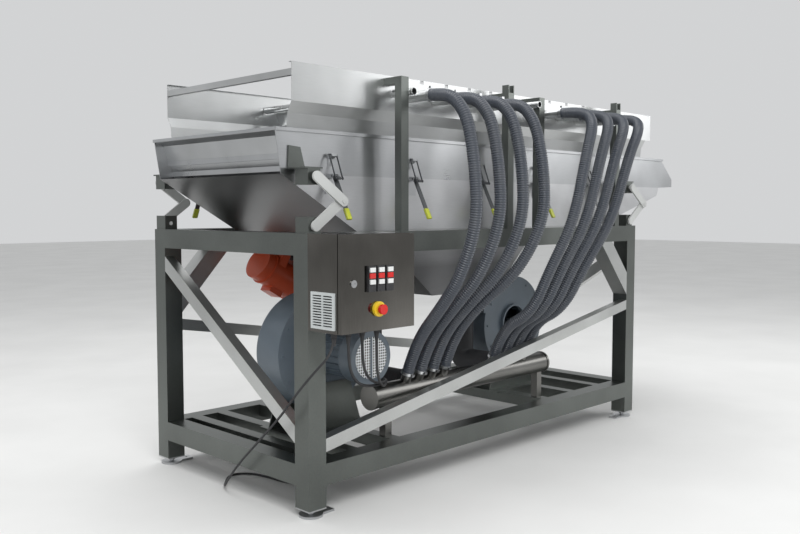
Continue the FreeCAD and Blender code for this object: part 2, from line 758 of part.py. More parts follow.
def latches():
    plates = []
    for s in SIDES:
        levers = []
        bails = []
        for i in range(5):
            x = "(-latch_first + %d * latch_pitch)" % i
            n = "latch_%d_%d" % (s + 1, i)
            pivot = (x, "latch_z")
            base = block(n + "_base", about(x, "30"), side(s, "trough_face", "trough_face + 4"),
                         ("latch_z - 75", "latch_z + 2"))
            members = [base]
            for t in SIDES:
                ear_x = about("%s + %d * 14.5" % (x, t), "1.5")
                members.append(block(n + "_ear_%d" % (t + 1), ear_x,
                                     side(s, "trough_face + 3", "latch_y + 8"), about("latch_z", "8")))
            hole = rod(n + "_hole", "x", "%s - 20" % x, "%s + 20" % x,
                       (signed(s, "latch_y"), "latch_z"), "4.06")
            plates.append(cut(n + "_plate", fuse(n + "_solid", members), hole))
            hook = panel(n + "_hook", "x",
                         [(signed(s, y), z) for y, z in
                          (("trough_face", "bail_top - 45"), ("trough_face + 4", "bail_top - 45"),
                           ("trough_face + 4", "bail_top - 20"), ("bail_top_y + 9", "bail_top - 7"),
                           ("bail_top_y + 9", "bail_top + 4"), ("bail_top_y + 6", "bail_top + 4"),
                           ("bail_top_y + 6", "bail_top - 3.1"), ("trough_face", "bail_top - 3.1"))],
                         "%s - 14" % x, "%s + 14" % x)
            plates.append(hook)
            lever = [rod(n + "_pin", "x", "-17", "17", ("0", "0"), "4"),
                     rod(n + "_hub", "x", "-12", "12", ("0", "0"), "8"),
                     block(n + "_handle", ("-12", "12"), ("-2", "2"), ("-lever_long", "0")),
                     block(n + "_grip", ("-13", "13"), ("-5", "5"), ("-lever_long - 2", "-lever_long + 45"))]
            solid = fuse(n + "_lever_body", lever)
            tilt(solid, (1, 0, 0), "%d * lever_lean" % s, x, signed(s, "latch_y"), "latch_z")
            arm_y = "(latch_y + bail_arm * cos(bail_dip * 1deg))"
            arm_z = "(latch_z - bail_arm * sin(bail_dip * 1deg))"
            web = panel(n + "_web", "x",
                        [(signed(s, y), z) for y, z in
                         (("latch_y", "latch_z + 7"), ("latch_y - 2", "latch_z - 7"),
                          ("%s + 2" % arm_y, "%s - 6" % arm_z), ("%s + 5" % arm_y, "%s" % arm_z),
                          ("%s + 2" % arm_y, "%s + 6" % arm_z))], "%s - 9" % x, "%s + 9" % x)
            cross = rod(n + "_cross", "x", "%s - 23" % x, "%s + 23" % x, (signed(s, arm_y), arm_z), "3")
            levers.append(fuse(n + "_lever", [solid, web, cross]))
            run = "sqrt((%s - bail_top_y) ^ 2 + (bail_top - %s) ^ 2)" % (arm_y, arm_z)
            wires = []
            for t in SIDES:
                near, far = ("18", "21") if t > 0 else ("-21", "-18")
                leg_x = ("%s + %s" % (x, near), "%s + %s" % (x, far))
                ny = "((bail_top - %s) / %s * 3)" % (arm_z, run)
                nz = "((%s - bail_top_y) / %s * 3)" % (arm_y, run)
                leg = panel(n + "_leg_%d" % (t + 1), "x",
                            [(signed(s, y), z) for y, z in
                             (("%s + %s" % (arm_y, ny), "%s + %s" % (arm_z, nz)),
                              ("bail_top_y + %s" % ny, "bail_top + %s" % nz),
                              ("bail_top_y - %s" % ny, "bail_top - %s" % nz),
                              ("%s - %s" % (arm_y, ny), "%s - %s" % (arm_z, nz)))], *leg_x)
                eye = rod(n + "_eye_%d" % (t + 1), "x", leg_x[0], leg_x[1], (signed(s, arm_y), arm_z), "6")
                wires += [leg, eye]
            wires.append(rod(n + "_bar", "x", "%s - 21" % x, "%s + 21" % x,
                             (signed(s, "bail_top_y"), "bail_top"), "3"))
            loop = fuse(n + "_loop", wires)
            eyes = rod(n + "_eye_hole", "x", "%s - 25" % x, "%s + 25" % x, (signed(s, arm_y), arm_z), "3.06")
            bails.append(cut(n + "_bail", loop, eyes))
        end = "front" if s < 0 else "rear"
        node("latch_levers_" + end, group("levers_" + end, levers))
        node("latch_bails_" + end, group("bails_" + end, bails))
    node("latch_plates", group("plates", plates))


HINGE_LEVELS = ("box_low + 68", "box_low + 288")
HINGE_AXIS = ("-box_right + 4", "-box_front - 2")
# The grille's middle on the box's left side, and the lock's on the door
GRILLE = ("-box_front + 81", "box_low + 86")
LOCK = ("-box_left + 61", "box_low + 193")


def box_shell():
    outer = block("box_full", ("-box_left", "-box_right"), ("-box_front", "-out_y"),
                  ("box_low", "frame_top"))
    inner = block("box_void", ("-box_left + sheet", "-box_right - sheet"),
                  ("-box_front - 1", "-out_y - sheet"), ("box_low + sheet", "frame_top - sheet"))
    vent = block("box_vent", ("-box_left - 1", "-box_left + 3"), about(GRILLE[0], "60"),
                 about(GRILLE[1], "60"))
    shell = cut("box_sheet", outer, fuse("box_gaps", [inner, vent]))
    members = [shell]
    for i, z in enumerate(HINGE_LEVELS):
        # the base ends in a nose round the pin, so the door's edge can swing past it
        members.append(block("hinge_base_%d" % i, ("-box_right - 1", "-box_right + 8"),
                             ("-box_front - 2", "-box_front + 20"), ("%s - 10" % z, z)))
        members.append(rod("hinge_nose_%d" % i, "z", "%s - 10" % z, z, HINGE_AXIS, "4.2"))
        members.append(rod("hinge_pin_%d" % i, "z", "%s - 5" % z, "%s + 40" % z, HINGE_AXIS, "2"))
    node("box_shell", fuse("box", members))


def box_door():
    tray = block("door_full", ("-box_left", "-box_right - 2"), ("-door_front", "-door_back"),
                 ("box_low + 1", "frame_top - 1"))
    void = block("door_void", ("-box_left + sheet", "-box_right - 2 - sheet"),
                 ("-door_front + sheet", "-door_back + 1"), ("box_low + 1 + sheet", "frame_top - 1 - sheet"))
    members = [cut("door_tray", tray, void)]
    for i, z in enumerate(HINGE_LEVELS):
        members.append(rod("knuckle_%d" % i, "z", "%s + 0.5" % z, "%s + 39" % z, HINGE_AXIS, "4.2"))
        members.append(block("knuckle_tab_%d" % i, ("-box_right - 4", "-box_right + 4"),
                             ("-door_back - 3", "-door_back + 0"), ("%s + 0.5" % z, "%s + 39" % z)))
    bores = [rod("knuckle_bore_%d" % i, "z", "%s - 1" % z, "%s + 60" % z, HINGE_AXIS, "2.06")
             for i, z in enumerate(HINGE_LEVELS)]
    bores.append(rod("lock_bore", "y", "-door_front - 1", "-door_front + 5", LOCK, "11.06"))
    node("box_door", cut("door", fuse("door_solid", members), fuse("door_gaps", bores)))


def door_lock():
    barrel = rod("lock_barrel", "y", "-door_front - 3", "-door_front + 12", LOCK, "11")
    head = rod("lock_head", "y", "-door_front - 5", "-door_front - 0.5", LOCK, "15")
    slot = block("lock_slot", about(LOCK[0], "9"), ("-door_front - 6", "-door_front - 2"),
                 about(LOCK[1], "1.5"))
    cam = block("lock_cam", ("%s - 40" % LOCK[0], "%s + 10" % LOCK[0]),
                ("-door_front + 9", "-door_front + 12"), about(LOCK[1], "8"))
    node("door_lock", cut("lock", fuse("lock_solid", [barrel, head, cam]), slot))


def station_x(i):
    return "(-station_mid + %d * station_pitch)" % (i - 1)


ESTOP = ("-box_left + 191", "box_low + 87")
# Heights of the start button, the lamp and the stop button about a station's middle
KEY_RISE = {"start": 35, "lamp": 12, "stop": -12}
KEY_HALF = {"start": ("14", "9"), "lamp": ("15", "10"), "stop": ("14", "9")}


def button_holders():
    holders = []
    span = ("-door_front - station_deep", "-door_front")
    for i in range(3):
        x = station_x(i)
        n = "station_%d" % i
        plate = block(n + "_plate", about(x, "20"), span, about("station_z", "51"))
        gaps = [block("%s_gap_%s" % (n, key), about(x, KEY_HALF[key][0] + " + 0.1"),
                      ("-door_front - station_deep - 1", "-door_front + 0.5"),
                      about("station_z + %d" % rise_z, KEY_HALF[key][1] + " + 0.1"))
                for key, rise_z in KEY_RISE.items()]
        holders.append(cut(n, plate, fuse(n + "_gaps", gaps)))
    collar = rod("collar_full", "y", *span, ESTOP, "30")
    bore = rod("collar_bore", "y", "-door_front - station_deep - 1", "-door_front + 0.5", ESTOP, "11.06")
    holders.append(cut("collar", collar, bore))
    node("button_holders", group("holders", holders))


def buttons():
    lamps = []
    for i in range(3):
        lamps.append(block("lamp_%d" % i, about(station_x(i), KEY_HALF["lamp"][0]),
                           ("-door_front - station_deep - 4", "-door_front"),
                           about("station_z + %d" % KEY_RISE["lamp"], KEY_HALF["lamp"][1])))
    node("indicator_lamps", group("lamps", lamps))
    for label in ("start", "stop"):
        for i in range(3):
            name = "%s_button_%d" % (label, i + 1)
            node(name, block(name + "_solid", about(station_x(i), KEY_HALF[label][0]),
                             ("-door_front - station_deep - 5", "-door_front - 4"),
                             about("station_z + %d" % KEY_RISE[label], KEY_HALF[label][1])))
    stem = rod("estop_stem", "y", "-door_front - station_deep - 8", "-door_front - 5", ESTOP, "11")
    head = rounded("estop_cap", rod("estop_head", "y", "-door_front - station_deep - 24",
                                    "-door_front - station_deep - 6", ESTOP, "20"), 6)
    node("estop_button", fuse("estop", [stem, head]))


def filter_grille():
    frame = block("grille_frame", ("-box_left - 8", "-box_left"), about(GRILLE[0], "69"),
                  about(GRILLE[1], "72"))
    gaps = []
    for row in range(12):
        for t in SIDES:
            gaps.append(block("grille_gap_%d_%d" % (row, t + 1), ("-box_left - 9", "-box_left + 1"),
                              about("(%s) + %d * 31" % (GRILLE[0], t), "27"),
                              about("(%s) + %.2f" % (GRILLE[1], (row - 5.5) * 10.5), "2.6")))
    node("filter_grille", cut("grille", frame, fuse("grille_gaps", gaps)))


GLANDS = (("-cord_x", "-cord_y"), ("-box_left + 265", "-cord_y"), ("-box_left + 185", "-cord_y"),
          ("-box_left + 110", "-cord_y"))


def cable_glands():
    members = []
    for i, (x, y) in enumerate(GLANDS):
        members.append(rod("gland_%d" % i, "z", "box_low - 22", "box_low", (x, y), "12"))
    node("cable_glands", group("glands", members))


def volute(name, x, outlet):
    """A round blower casing, off its shaft's centre, with an outlet on one side."""
    back = "volute_back"
    middle = ("(%s) - volute_shift * (%d)" % (x, outlet), "blower_z")
    rim = size("volute_rim")
    drum = rounded(name + "_drum", rod(name + "_disc", "y", "-volute_front", back, middle, "volute_r"), rim)
    reach = (x, "(%s) + 260" % x) if outlet > 0 else ("(%s) - 260" % x, x)
    box = block(name + "_outlet", reach, ("-volute_front", back), about("outlet_z", "80"))
    flange_end = "(%s) + (%d)" % (x, 275 * outlet)
    low, high = (reach[1], flange_end) if outlet > 0 else (flange_end, reach[0])
    flange = rod(name + "_flange", "x", low, high, ("-blow_y", "outlet_z"), "duct_r + 8")
    room = rod(name + "_room", "y", "-volute_front + volute_wall", "volute_back - volute_wall", middle,
               "volute_r - volute_wall")
    hollow = rounded(name + "_hollow", room, rim - size("volute_wall"))
    neck = block(name + "_neck", reach, ("-volute_front + volute_wall", "volute_back - volute_wall"),
                 about("outlet_z", "76"))
    throat_span = (reach[0], "(%s) + 20" % reach[1]) if outlet > 0 else ("(%s) - 20" % reach[0], reach[1])
    throat = rod(name + "_throat", "x", *throat_span, ("-blow_y", "outlet_z"), "duct_r - 4")
    solid = [drum, box, flange]
    # cover screws, left out where the stand's cheeks reach up
    for k in range(-1, 8):
        spot = ("(%s) + 240 * cos(%ddeg)" % (middle[0], 30 * k), "blower_z + 240 * sin(%ddeg)" % (30 * k))
        solid.append(rod("%s_screw_%d" % (name, k + 1), "y", "-volute_front - 5", "volute_back + 5",
                         spot, "6"))
    return solid, [hollow, neck, throat]


def blowers():
    casings = []
    for name, x, outlet, motor_side in (("left", "-blower_left", 1, -1), ("right", "blower_right", -1, 1)):
        solid, gaps = volute("volute_" + name, x, outlet)
        n = "casing_" + name
        if motor_side < 0:
            inlet = ("0", "volute_back + 20")
            hole = ("-volute_front - 1", "-volute_front + 10")
        else:
            inlet = ("-volute_front - 20", "-volute_front + 10")
            hole = ("volute_back - 10", "volute_back + 1")
        solid.append(rod(n + "_ring", "y", inlet[0], inlet[1], (x, "blower_z"), "110"))
        gaps.append(rod(n + "_eye", "y", "%s - 1" % inlet[0], "%s + 1" % inlet[1], (x, "blower_z"), "100"))
        gaps.append(rod(n + "_shaft_hole", "y", hole[0], hole[1], (x, "blower_z"), "shaft_r + 4"))
        casings.append(cut(n, fuse(n + "_solid", solid), fuse(n + "_gaps", gaps)))
    node("blower_housings", group("casings", casings))


def impellers():
    for name, x, motor_side in (("left", "-blower_left", -1), ("right", "blower_right", 1)):
        n = "wheel_" + name
        if motor_side < 0:
            plate = ("-volute_front + 10", "-volute_front + 14")
            blades = ("-volute_front + 13", "volute_back - 12")
            shaft = ("-volute_front - 60", "-volute_front + 60")
        else:
            plate = ("volute_back - 14", "volute_back - 10")
            blades = ("-volute_front + 12", "volute_back - 13")
            shaft = ("volute_back - 60", "volute_back + 60")
        members = [rod(n + "_plate", "y", plate[0], plate[1], (x, "blower_z"), "wheel_r"),
                   rod(n + "_shaft", "y", shaft[0], shaft[1], (x, "blower_z"), "shaft_r")]
        for i in range(10):
            blade = block(n + "_blade_%d" % i, ("115", "wheel_r - 2"), blades, ("-1.5", "1.5"))
            tilt(blade, (0, 1, 0), "%d * 36" % i, "(%s) + 115 * cos(%d * 36deg)" % (x, i), blades[0],
                 "blower_z - 115 * sin(%d * 36deg)" % i)
            members.append(blade)
        node("impeller_" + name, fuse(n, members))


def blower_motors():
    motors = []
    for name, x, motor_side in (("left", "-blower_left", -1), ("right", "blower_right", 1)):
        n = "motor_" + name
        face = "volute_front" if motor_side < 0 else "volute_back"
        body = rod(n + "_body", "y", *side(motor_side, face, "%s + motor_long - cowl_long" % face),
                   (x, "blower_z"), "motor_r")
        shell = rod(n + "_shell", "y", *side(motor_side, "%s + motor_long - cowl_long" % face,
                                             "%s + motor_long" % face), (x, "blower_z"), "cowl_r")
        cowl = rounded(n + "_cowl", shell, 12)
        flange = rod(n + "_flange", "y", *side(motor_side, face, "%s + 12" % face), (x, "blower_z"),
                     "motor_r + 22")
        members = [body, cowl, flange]
        start, end = side(motor_side, "%s + 12" % face, "%s + motor_long - cowl_long" % face)
        for k in range(20):
            fin_piece = block("%s_fin_%d" % (n, k), ("0", "fin + 4"), (start, end), ("0", "3"))
            tilt(fin_piece, (0, 1, 0), "%d * 18" % k,
                 "(%s) + (motor_r - 4) * cos(%ddeg)" % (x, 18 * k), start,
                 "blower_z - (motor_r - 4) * sin(%ddeg)" % (18 * k))
            members.append(fin_piece)
        members.append(block(n + "_terminals", ("(%s) + motor_r - 10" % x, "(%s) + motor_r + 57" % x),
                             side(motor_side, "%s + 65" % face, "%s + 165" % face),
                             ("blower_z - 38", "blower_z + 42")))
        bore = rod(n + "_bore", "y", *side(motor_side, "%s - 1" % face, "%s + 63" % face),
                   (x, "blower_z"), "shaft_r + 0.06")
        gaps = [bore]
        # the cowl's air slots fill two half moons
        vent = size("vent_r")
        for row in range(-4, 5):
            for t in SIDES:
                reach = (vent * vent - (18 * row) ** 2) ** 0.5
                low, high = sorted((8.0 * t, reach * t))
                deep = side(motor_side, "%s + motor_long - 6" % face, "%s + motor_long + 1" % face)
                gaps.append(block("%s_air_%d_%d" % (n, row + 4, t + 1),
                                  ("(%s) + %.2f" % (x, low), "(%s) + %.2f" % (x, high)), deep,
                                  about("blower_z + %d" % (18 * row), "4")))
        motors.append(cut(n, fuse(n + "_solid", members), fuse(n + "_gaps", gaps)))
    node("blower_motors", group("motors", motors))


def blower_stands():
    stands = []
    for name, x in (("left", "-blower_left"), ("right", "blower_right")):
        n = "stand_" + name
        members = [block(n + "_base", about(x, "212"), ("-230", "80"), ("deck_top", "deck_top + 8"))]
        outline = (("(%s) - 208" % x, "deck_top + 7"), ("(%s) + 208" % x, "deck_top + 7"),
                   ("(%s) + 137" % x, "blower_z - 150"), ("(%s) - 137" % x, "blower_z - 150"))
        members.append(panel(n + "_cheek_0", "y", outline, "-volute_front - 6", "-volute_front"))
        members.append(panel(n + "_cheek_1", "y", outline, "volute_back", "volute_back + 6"))
        stands.append(fuse(n, members))
    node("blower_stands", group("stands", stands))


def stub_places():
    first = ["-stub_first + %d * stub_pitch" % i for i in range(4)]
    return first + ["stub_second + %d * stub_pitch" % i for i in range(4)]


def manifold():
    members = [rod("main_full", "x", "-main_left", "main_right", ("-main_y", "main_z"), "main_r")]
    gaps = [rod("main_void", "x", "-main_left + 3", "main_right - 3", ("-main_y", "main_z"), "main_r - 3")]
    for i, x in enumerate(stub_places()):
        stub = rod("stub_%d" % i, "z", "0", "stub_long", ("0", "0"), "stub_r")
        tilt(stub, (1, 0, 0), "stub_lean", x, "-main_y", "main_z")
        members.append(stub)
    for i, x in enumerate(("-duct_x", "duct_x_right")):
        members.append(rod("boss_%d" % i, "y", "-main_y", "-main_y + 95", (x, "main_z"), "50"))
    for i, x in enumerate(("-main_left + 4", "main_right - 4")):
        members.append(rod("cap_%d" % i, "x", "(%s) - 7" % x, "(%s) + 7" % x, ("-main_y", "main_z"),
                           "main_r + 3"))
    for i, x in enumerate(("-690", "480")):
        members.append(block("prop_%d" % i, about(x, "20"), about("-main_y", "20"),
                             ("deck_top", "main_z - main_r + 6")))
    node("manifold", cut("main", fuse("main_solid", members), gaps[0]))


def blower_ducts():
    ducts = []
    for name, x, drop, turn in (("left", -size("blower_left") + 275, -size("duct_x"), 1),
                                ("right", size("blower_right") - 275, size("duct_x_right"), -1)):
        y = -size("blow_y")
        top = size("outlet_z")
        low = size("main_z")
        corner = Vec(drop, y, top)
        start = Vec(x, y, top)
        foot = Vec(drop, y, low)
        end = Vec(drop, -size("main_y") + 95, low)
        bend = 74.0
        edges = []
        points = [start, corner, foot, end]
        last = start
        for a, b, c in zip(points, points[1:], points[2:]):
            back = (a - b).normalize()
            ahead = (c - b).normalize()
            first = b + back * bend
            second = b + ahead * bend
            middle = b + (back + ahead) * (bend * (1 - sin(pi / 4)))
            if (first - last).Length > 0.01:
                edges.append(Part.LineSegment(last, first).toShape())
            edges.append(Part.Arc(first, middle, second).toShape())
            last = second
        edges.append(Part.LineSegment(last, end).toShape())
        path = Part.Wire(edges)
        section = Part.Wire([Part.Circle(start, corner - start, size("duct_r")).toShape()])
        obj = doc.addObject("Part::Feature", "duct_" + name)
        obj.Shape = path.makePipeShell([section], True, False, 2)
        ducts.append(obj)
    node("blower_ducts", group("ducts", ducts))


# Each set of four hoses bows the same way: how far out from its air knife, how far
# down, and what share of the way along from the knife to its stub on the manifold
HOSE_OUT = ((0, 90, 162, 228, 268, 280, 188, 75), (0, 97, 198, 258, 268, 248, 172, 84))
HOSE_DOWN = ((0, 0, 35, 123, 341, 560, 800, 944), (0, 0, 28, 90, 225, 564, 787, 1022))
HOSE_ALONG = ((0, 0, 0.02, 0.06, 0.03, 0.09, 0.4, 0.95), (0, 0, 0.08, 0.24, 0.42, 0.62, 0.82, 0.92))
HOSE_FALL = 1351
FOOT_RUN = 170


def hose_places():
    """The X places of each hose's two ends."""
    pitch = size("knife_pitch")
    step = size("stub_pitch")
    places = []
    for top, low in ((-size("knife_first"), -size("stub_first")),
                     (size("knife_second"), size("stub_second"))):
        places += [(top + i * pitch, low + i * step) for i in range(4)]
    return places


def hoses():
    lean = size("stub_lean") * pi / 180
    foot = (size("main_y") + size("stub_long") * sin(lean), size("main_z") + size("stub_long") * cos(lean))
    before = (foot[0] + FOOT_RUN * sin(lean), foot[1] + FOOT_RUN * cos(lean))
    fall = (size("knife_z") - size("main_z")) / HOSE_FALL
    for i, (top, low) in enumerate(hose_places()):
        bow = zip(HOSE_OUT[i // 4], HOSE_DOWN[i // 4], HOSE_ALONG[i // 4])
        points = [(top + (low - top) * share, -size("knife_end") - out, size("knife_z") - down * fall)
                  for out, down, share in bow]
        points += [(low, -before[0], before[1]), (low, -foot[0], foot[1])]
        node("hose_%d" % (i + 1), route("hose_line_%d" % (i + 1), points, size("hose_r")))


def hose_clamps():
    rings = []
    for i, x in enumerate(knife_places()):
        ring = pipe("clamp_top_%d" % i, "y", "-knife_end - 18", "-knife_end - 4", (x, "knife_z"),
                    "hose_r + 3", "hose_r - 0.1")
        screw = block("clamp_top_screw_%d" % i, about(x, "9"), ("-knife_end - 17", "-knife_end - 5"),
                      ("knife_z + hose_r + 2", "knife_z + hose_r + 11"))
        rings.append(fuse("clamp_top_whole_%d" % i, [ring, screw]))
    for i, x in enumerate(stub_places()):
        ring = pipe("clamp_low_%d" % i, "z", "stub_long + 4", "stub_long + 18", ("0", "0"),
                    "hose_r + 3", "hose_r - 0.1")
        screw = block("clamp_low_screw_%d" % i, about("0", "9"), ("-hose_r - 11", "-hose_r - 2"),
                      ("stub_long + 5", "stub_long + 17"))
        whole = fuse("clamp_low_whole_%d" % i, [ring, screw])
        tilt(whole, (1, 0, 0), "stub_lean", x, "-main_y", "main_z")
        rings.append(whole)
    node("hose_clamps", group("clamps", rings))


# The supply cord hangs from its gland, drops past the left end and lies on the floor
CORD_ROUTE = ((-1230, -700, 749.6), (-1236, -698, 712), (-1252, -684, 668), (-1276, -647, 622),
              (-1302, -607, 567), (-1322, -555, 500), (-1327, -490, 427), (-1330, -424, 366),
              (-1328, -355, 309), (-1324, -285, 251), (-1319, -216, 196), (-1317, -150, 136),
              (-1312, -90, 76), (-1294, -28, 24), (-1242, 45, 5.3), (-1150, 150, 5.3),
              (-1065, 100, 5.3), (-1040, -10, 5.3), (-1035, -115, 5.3), (-1005, -210, 5.3),
              (-945, -249, 5.3), (-880, -249, 5.3))
# The lead from the box to the left blower's terminal box
LEAD_ROUTE = ((-1000, -700, 749.6), (-1000, -700, 650), (-960, -665, 555), (-870, -600, 490),
              (-770, -520, 478), (-690, -440, 481), (-684, -345, 466), (-686, -285, 492),
              (-686, -280, 553.6))
# The length that lies out of sight is wound flat on the floor, outside turn first,
# and its tail passes over the turns to the plug
COIL_HALF_TURNS = 7
COIL_OUTER = 84
COIL_STEP = 5.4
COIL_LAST = 30
TAIL = ((0, 0), (14, 0), (39, 10.8), (104, 10.8), (130, 0), (154, 0))
PLUG_LENGTH = 62


def coil():
    """Half circles that shrink by one step each, then the tail over them."""
    at = Vec(*CORD_ROUTE[-1])
    heading = (at - Vec(*CORD_ROUTE[-2])).normalize()
    ahead = Vec(heading)
    edges = []
    for turn in range(COIL_HALF_TURNS + 1):
        radius = COIL_OUTER - turn * COIL_STEP if turn < COIL_HALF_TURNS else COIL_LAST
        inward = Vec(-ahead.y, ahead.x, 0)
        end = at + inward * (2 * radius)
        edges.append(Part.Arc(at, at + inward * radius + ahead * radius, end).toShape())
        at = end
        ahead = ahead * -1
    tail = [at + ahead * along + Vec(0, 0, up) for along, up in TAIL]
    edges += bent_path(tail)[0]
    node("mains_coil", sweep("coil_line", edges, heading, size("cord_r")))
    return tail[-1], ahead


def plug(at, ahead):
    """A plug on its side, with two round pins and a flat underside."""
    body = rod("plug_body", "x", "14", "%d" % PLUG_LENGTH, ("0", "0"), "17")
    sleeve = rod("plug_sleeve", "x", "0", "20", ("0", "0"), "9")
    under = block("plug_under", ("-1", "70"), ("-30", "30"), ("-30", "-10"))
    trimmed = cut("plug_trim", fuse("plug_round", [body, sleeve]), under)
    pins = [rod("plug_pin_%d" % t, "x", "60", "%d + 19" % PLUG_LENGTH, ("0", "%d" % (9.5 * t)), "2.4")
            for t in SIDES]
    whole = fuse("plug", [trimmed] + pins)
    whole.Placement = FreeCAD.Placement(at + Vec(0, 0, 5), FreeCAD.Rotation(Vec(1, 0, 0), ahead))
    node("mains_plug", whole)


def cords():
    radius = size("cord_r")
    points = [list(p) for p in CORD_ROUTE]
    points[0] = [-size("cord_x"), -size("cord_y"), size("box_low") - 22.4]
    node("mains_cord", route("cord_line", points, radius))
    lead = [list(p) for p in LEAD_ROUTE]
    lead[0][2] = size("box_low") - 22.4
    lead[-1][2] = size("blower_z") - 38.4
    node("motor_lead", route("lead_line", lead, 6))
    plug(*coil())


def build():
    frame_legs()
    frame_rails()
    deck_crossmembers()
    frame_braces()
    levelling_feet()
    hood_posts()
    hood_walls()
    hood_cross_bars()
    air_knives()
    hoses()
    hose_clamps()
    manifold()
    blower_ducts()
    blowers()
    impellers()
    blower_motors()
    blower_stands()
    trough_shell()
    screen_deck()
    lower_pan()
    mounts_of_arms()
    arms()
    vibrators()
    latches()
    box_shell()
    box_door()
    door_lock()
    button_holders()
    buttons()
    filter_grille()
    cable_glands()
    cords()


build()
doc.recompute()

faults = []
for obj in doc.Objects:
    if "Invalid" in obj.State or "Error" in obj.State:
        faults.append("%s is in state %s" % (obj.Name, obj.State))
for obj in NODES:
    if obj.Shape.isNull() or not obj.Shape.isValid():
        faults.append("%s has a bad shape" % obj.Label)
    elif not obj.Shape.Solids:
        faults.append("%s has no solid" % obj.Label)
if faults:
    raise RuntimeError("; ".join(faults))

for obj in NODES:
    obj.Shape.exportStep("parts/%s.step" % obj.Label)
    print("%-20s solids %2d volume %.0f" % (obj.Label, len(obj.Shape.Solids), obj.Shape.Volume))
print("nodes", len(NODES))
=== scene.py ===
from math import cos, pi, radians, sin, tau

import bmesh
import bpy
from mathutils import Euler, Matrix, Vector


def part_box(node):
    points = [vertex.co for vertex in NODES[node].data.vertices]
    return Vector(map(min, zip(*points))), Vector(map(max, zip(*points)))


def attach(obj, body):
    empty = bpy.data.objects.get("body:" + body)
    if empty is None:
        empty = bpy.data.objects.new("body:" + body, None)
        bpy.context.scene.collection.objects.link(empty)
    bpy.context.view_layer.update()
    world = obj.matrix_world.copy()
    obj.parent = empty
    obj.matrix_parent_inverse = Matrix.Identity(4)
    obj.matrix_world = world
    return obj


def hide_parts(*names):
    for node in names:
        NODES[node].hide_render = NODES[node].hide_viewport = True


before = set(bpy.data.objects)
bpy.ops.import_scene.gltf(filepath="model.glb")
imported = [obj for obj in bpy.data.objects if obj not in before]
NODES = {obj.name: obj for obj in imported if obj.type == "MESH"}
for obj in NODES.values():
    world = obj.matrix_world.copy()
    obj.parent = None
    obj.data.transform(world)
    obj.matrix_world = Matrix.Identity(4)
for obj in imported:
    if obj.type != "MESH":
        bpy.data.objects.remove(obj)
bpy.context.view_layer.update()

# The vibrating feeder dressed for the photograph's view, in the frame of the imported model.
# Metres throughout, but for the routes of cords and hoses, which are in millimetres.


# Camera, fitted to the frame's edges in the photograph

CAMERA_PLACE = (-3.4305, -3.2349, 1.2472)
CAMERA_YAW = 45.36
CAMERA_PITCH = -3.751
CAMERA_LENS = 38.93
CAMERA_SENSOR = 36
CAMERA_REACH = 100


def make_camera():
    data = bpy.data.cameras.new("view")
    data.lens = CAMERA_LENS
    data.sensor_width = CAMERA_SENSOR
    data.clip_end = CAMERA_REACH
    camera = bpy.data.objects.new("view", data)
    camera.location = CAMERA_PLACE
    camera.rotation_euler = Euler((radians(90 + CAMERA_PITCH), 0, radians(-CAMERA_YAW)))
    bpy.context.scene.collection.objects.link(camera)
    bpy.context.scene.camera = camera


# Material building blocks

# a mix node has its colour sockets at these places
MIX_FIRST = 6
MIX_SECOND = 7
MIX_RESULT = 2


def shader(name, color, rough, metallic=0.0, **sockets):
    """A material with a Principled shader whose plain values sit on its own sockets."""
    mat = bpy.data.materials.new(name)
    mat.use_nodes = True
    bsdf = mat.node_tree.nodes["Principled BSDF"]
    bsdf.inputs["Base Color"].default_value = (*color, 1)
    bsdf.inputs["Roughness"].default_value = rough
    bsdf.inputs["Metallic"].default_value = metallic
    for socket, value in sockets.items():
        bsdf.inputs[socket.replace("_", " ")].default_value = value
    return mat, mat.node_tree, bsdf


def add(tree, kind, **values):
    """A node with its input values and settings given by name."""
    node = tree.nodes.new(kind)
    for key, value in values.items():
        if key in node.inputs:
            node.inputs[key].default_value = value
        else:
            setattr(node, key, value)
    return node


def reckon(tree, operation, *values):
    """The result of a Math node fed by sockets and plain numbers."""
    node = add(tree, "ShaderNodeMath", operation=operation)
    for socket, value in zip(node.inputs, values):
        if isinstance(value, float):
            socket.default_value = value
        else:
            tree.links.new(value, socket)
    return node.outputs[0]


def part_of(tree, space, axis):
    """One axis of the place or the normal, as an object-space number."""
    coords = add(tree, "ShaderNodeTexCoord")
    split = add(tree, "ShaderNodeSeparateXYZ")
    tree.links.new(coords.outputs[space], split.inputs["Vector"])
    return split.outputs[axis]


def object_noise(tree, scale, detail=4.0, stretch=(1, 1, 1)):
    """Noise in object space, stretched by a scale along each axis."""
    coords = add(tree, "ShaderNodeTexCoord")
    mapping = add(tree, "ShaderNodeMapping", Scale=stretch)
    noise = add(tree, "ShaderNodeTexNoise", Scale=scale, Detail=detail, Roughness=0.55)
    tree.links.new(coords.outputs["Object"], mapping.inputs["Vector"])
    tree.links.new(mapping.outputs["Vector"], noise.inputs["Vector"])
    return noise.outputs["Fac"]


def ramp(tree, source, low, high, start=0.3, end=0.7):
    """Colours between two ends, chosen by a factor."""
    node = add(tree, "ShaderNodeValToRGB")
    for element, color, position in zip(node.color_ramp.elements, (low, high), (start, end)):
        element.position = position
        element.color = (*color, 1)
    tree.links.new(source, node.inputs["Fac"])
    return node.outputs["Color"]


def spread(tree, source, low, high):
    """A factor mapped to a range of numbers."""
    node = add(tree, "ShaderNodeMapRange")
    node.inputs["To Min"].default_value = low
    node.inputs["To Max"].default_value = high
    tree.links.new(source, node.inputs["Value"])
    return node.outputs["Result"]


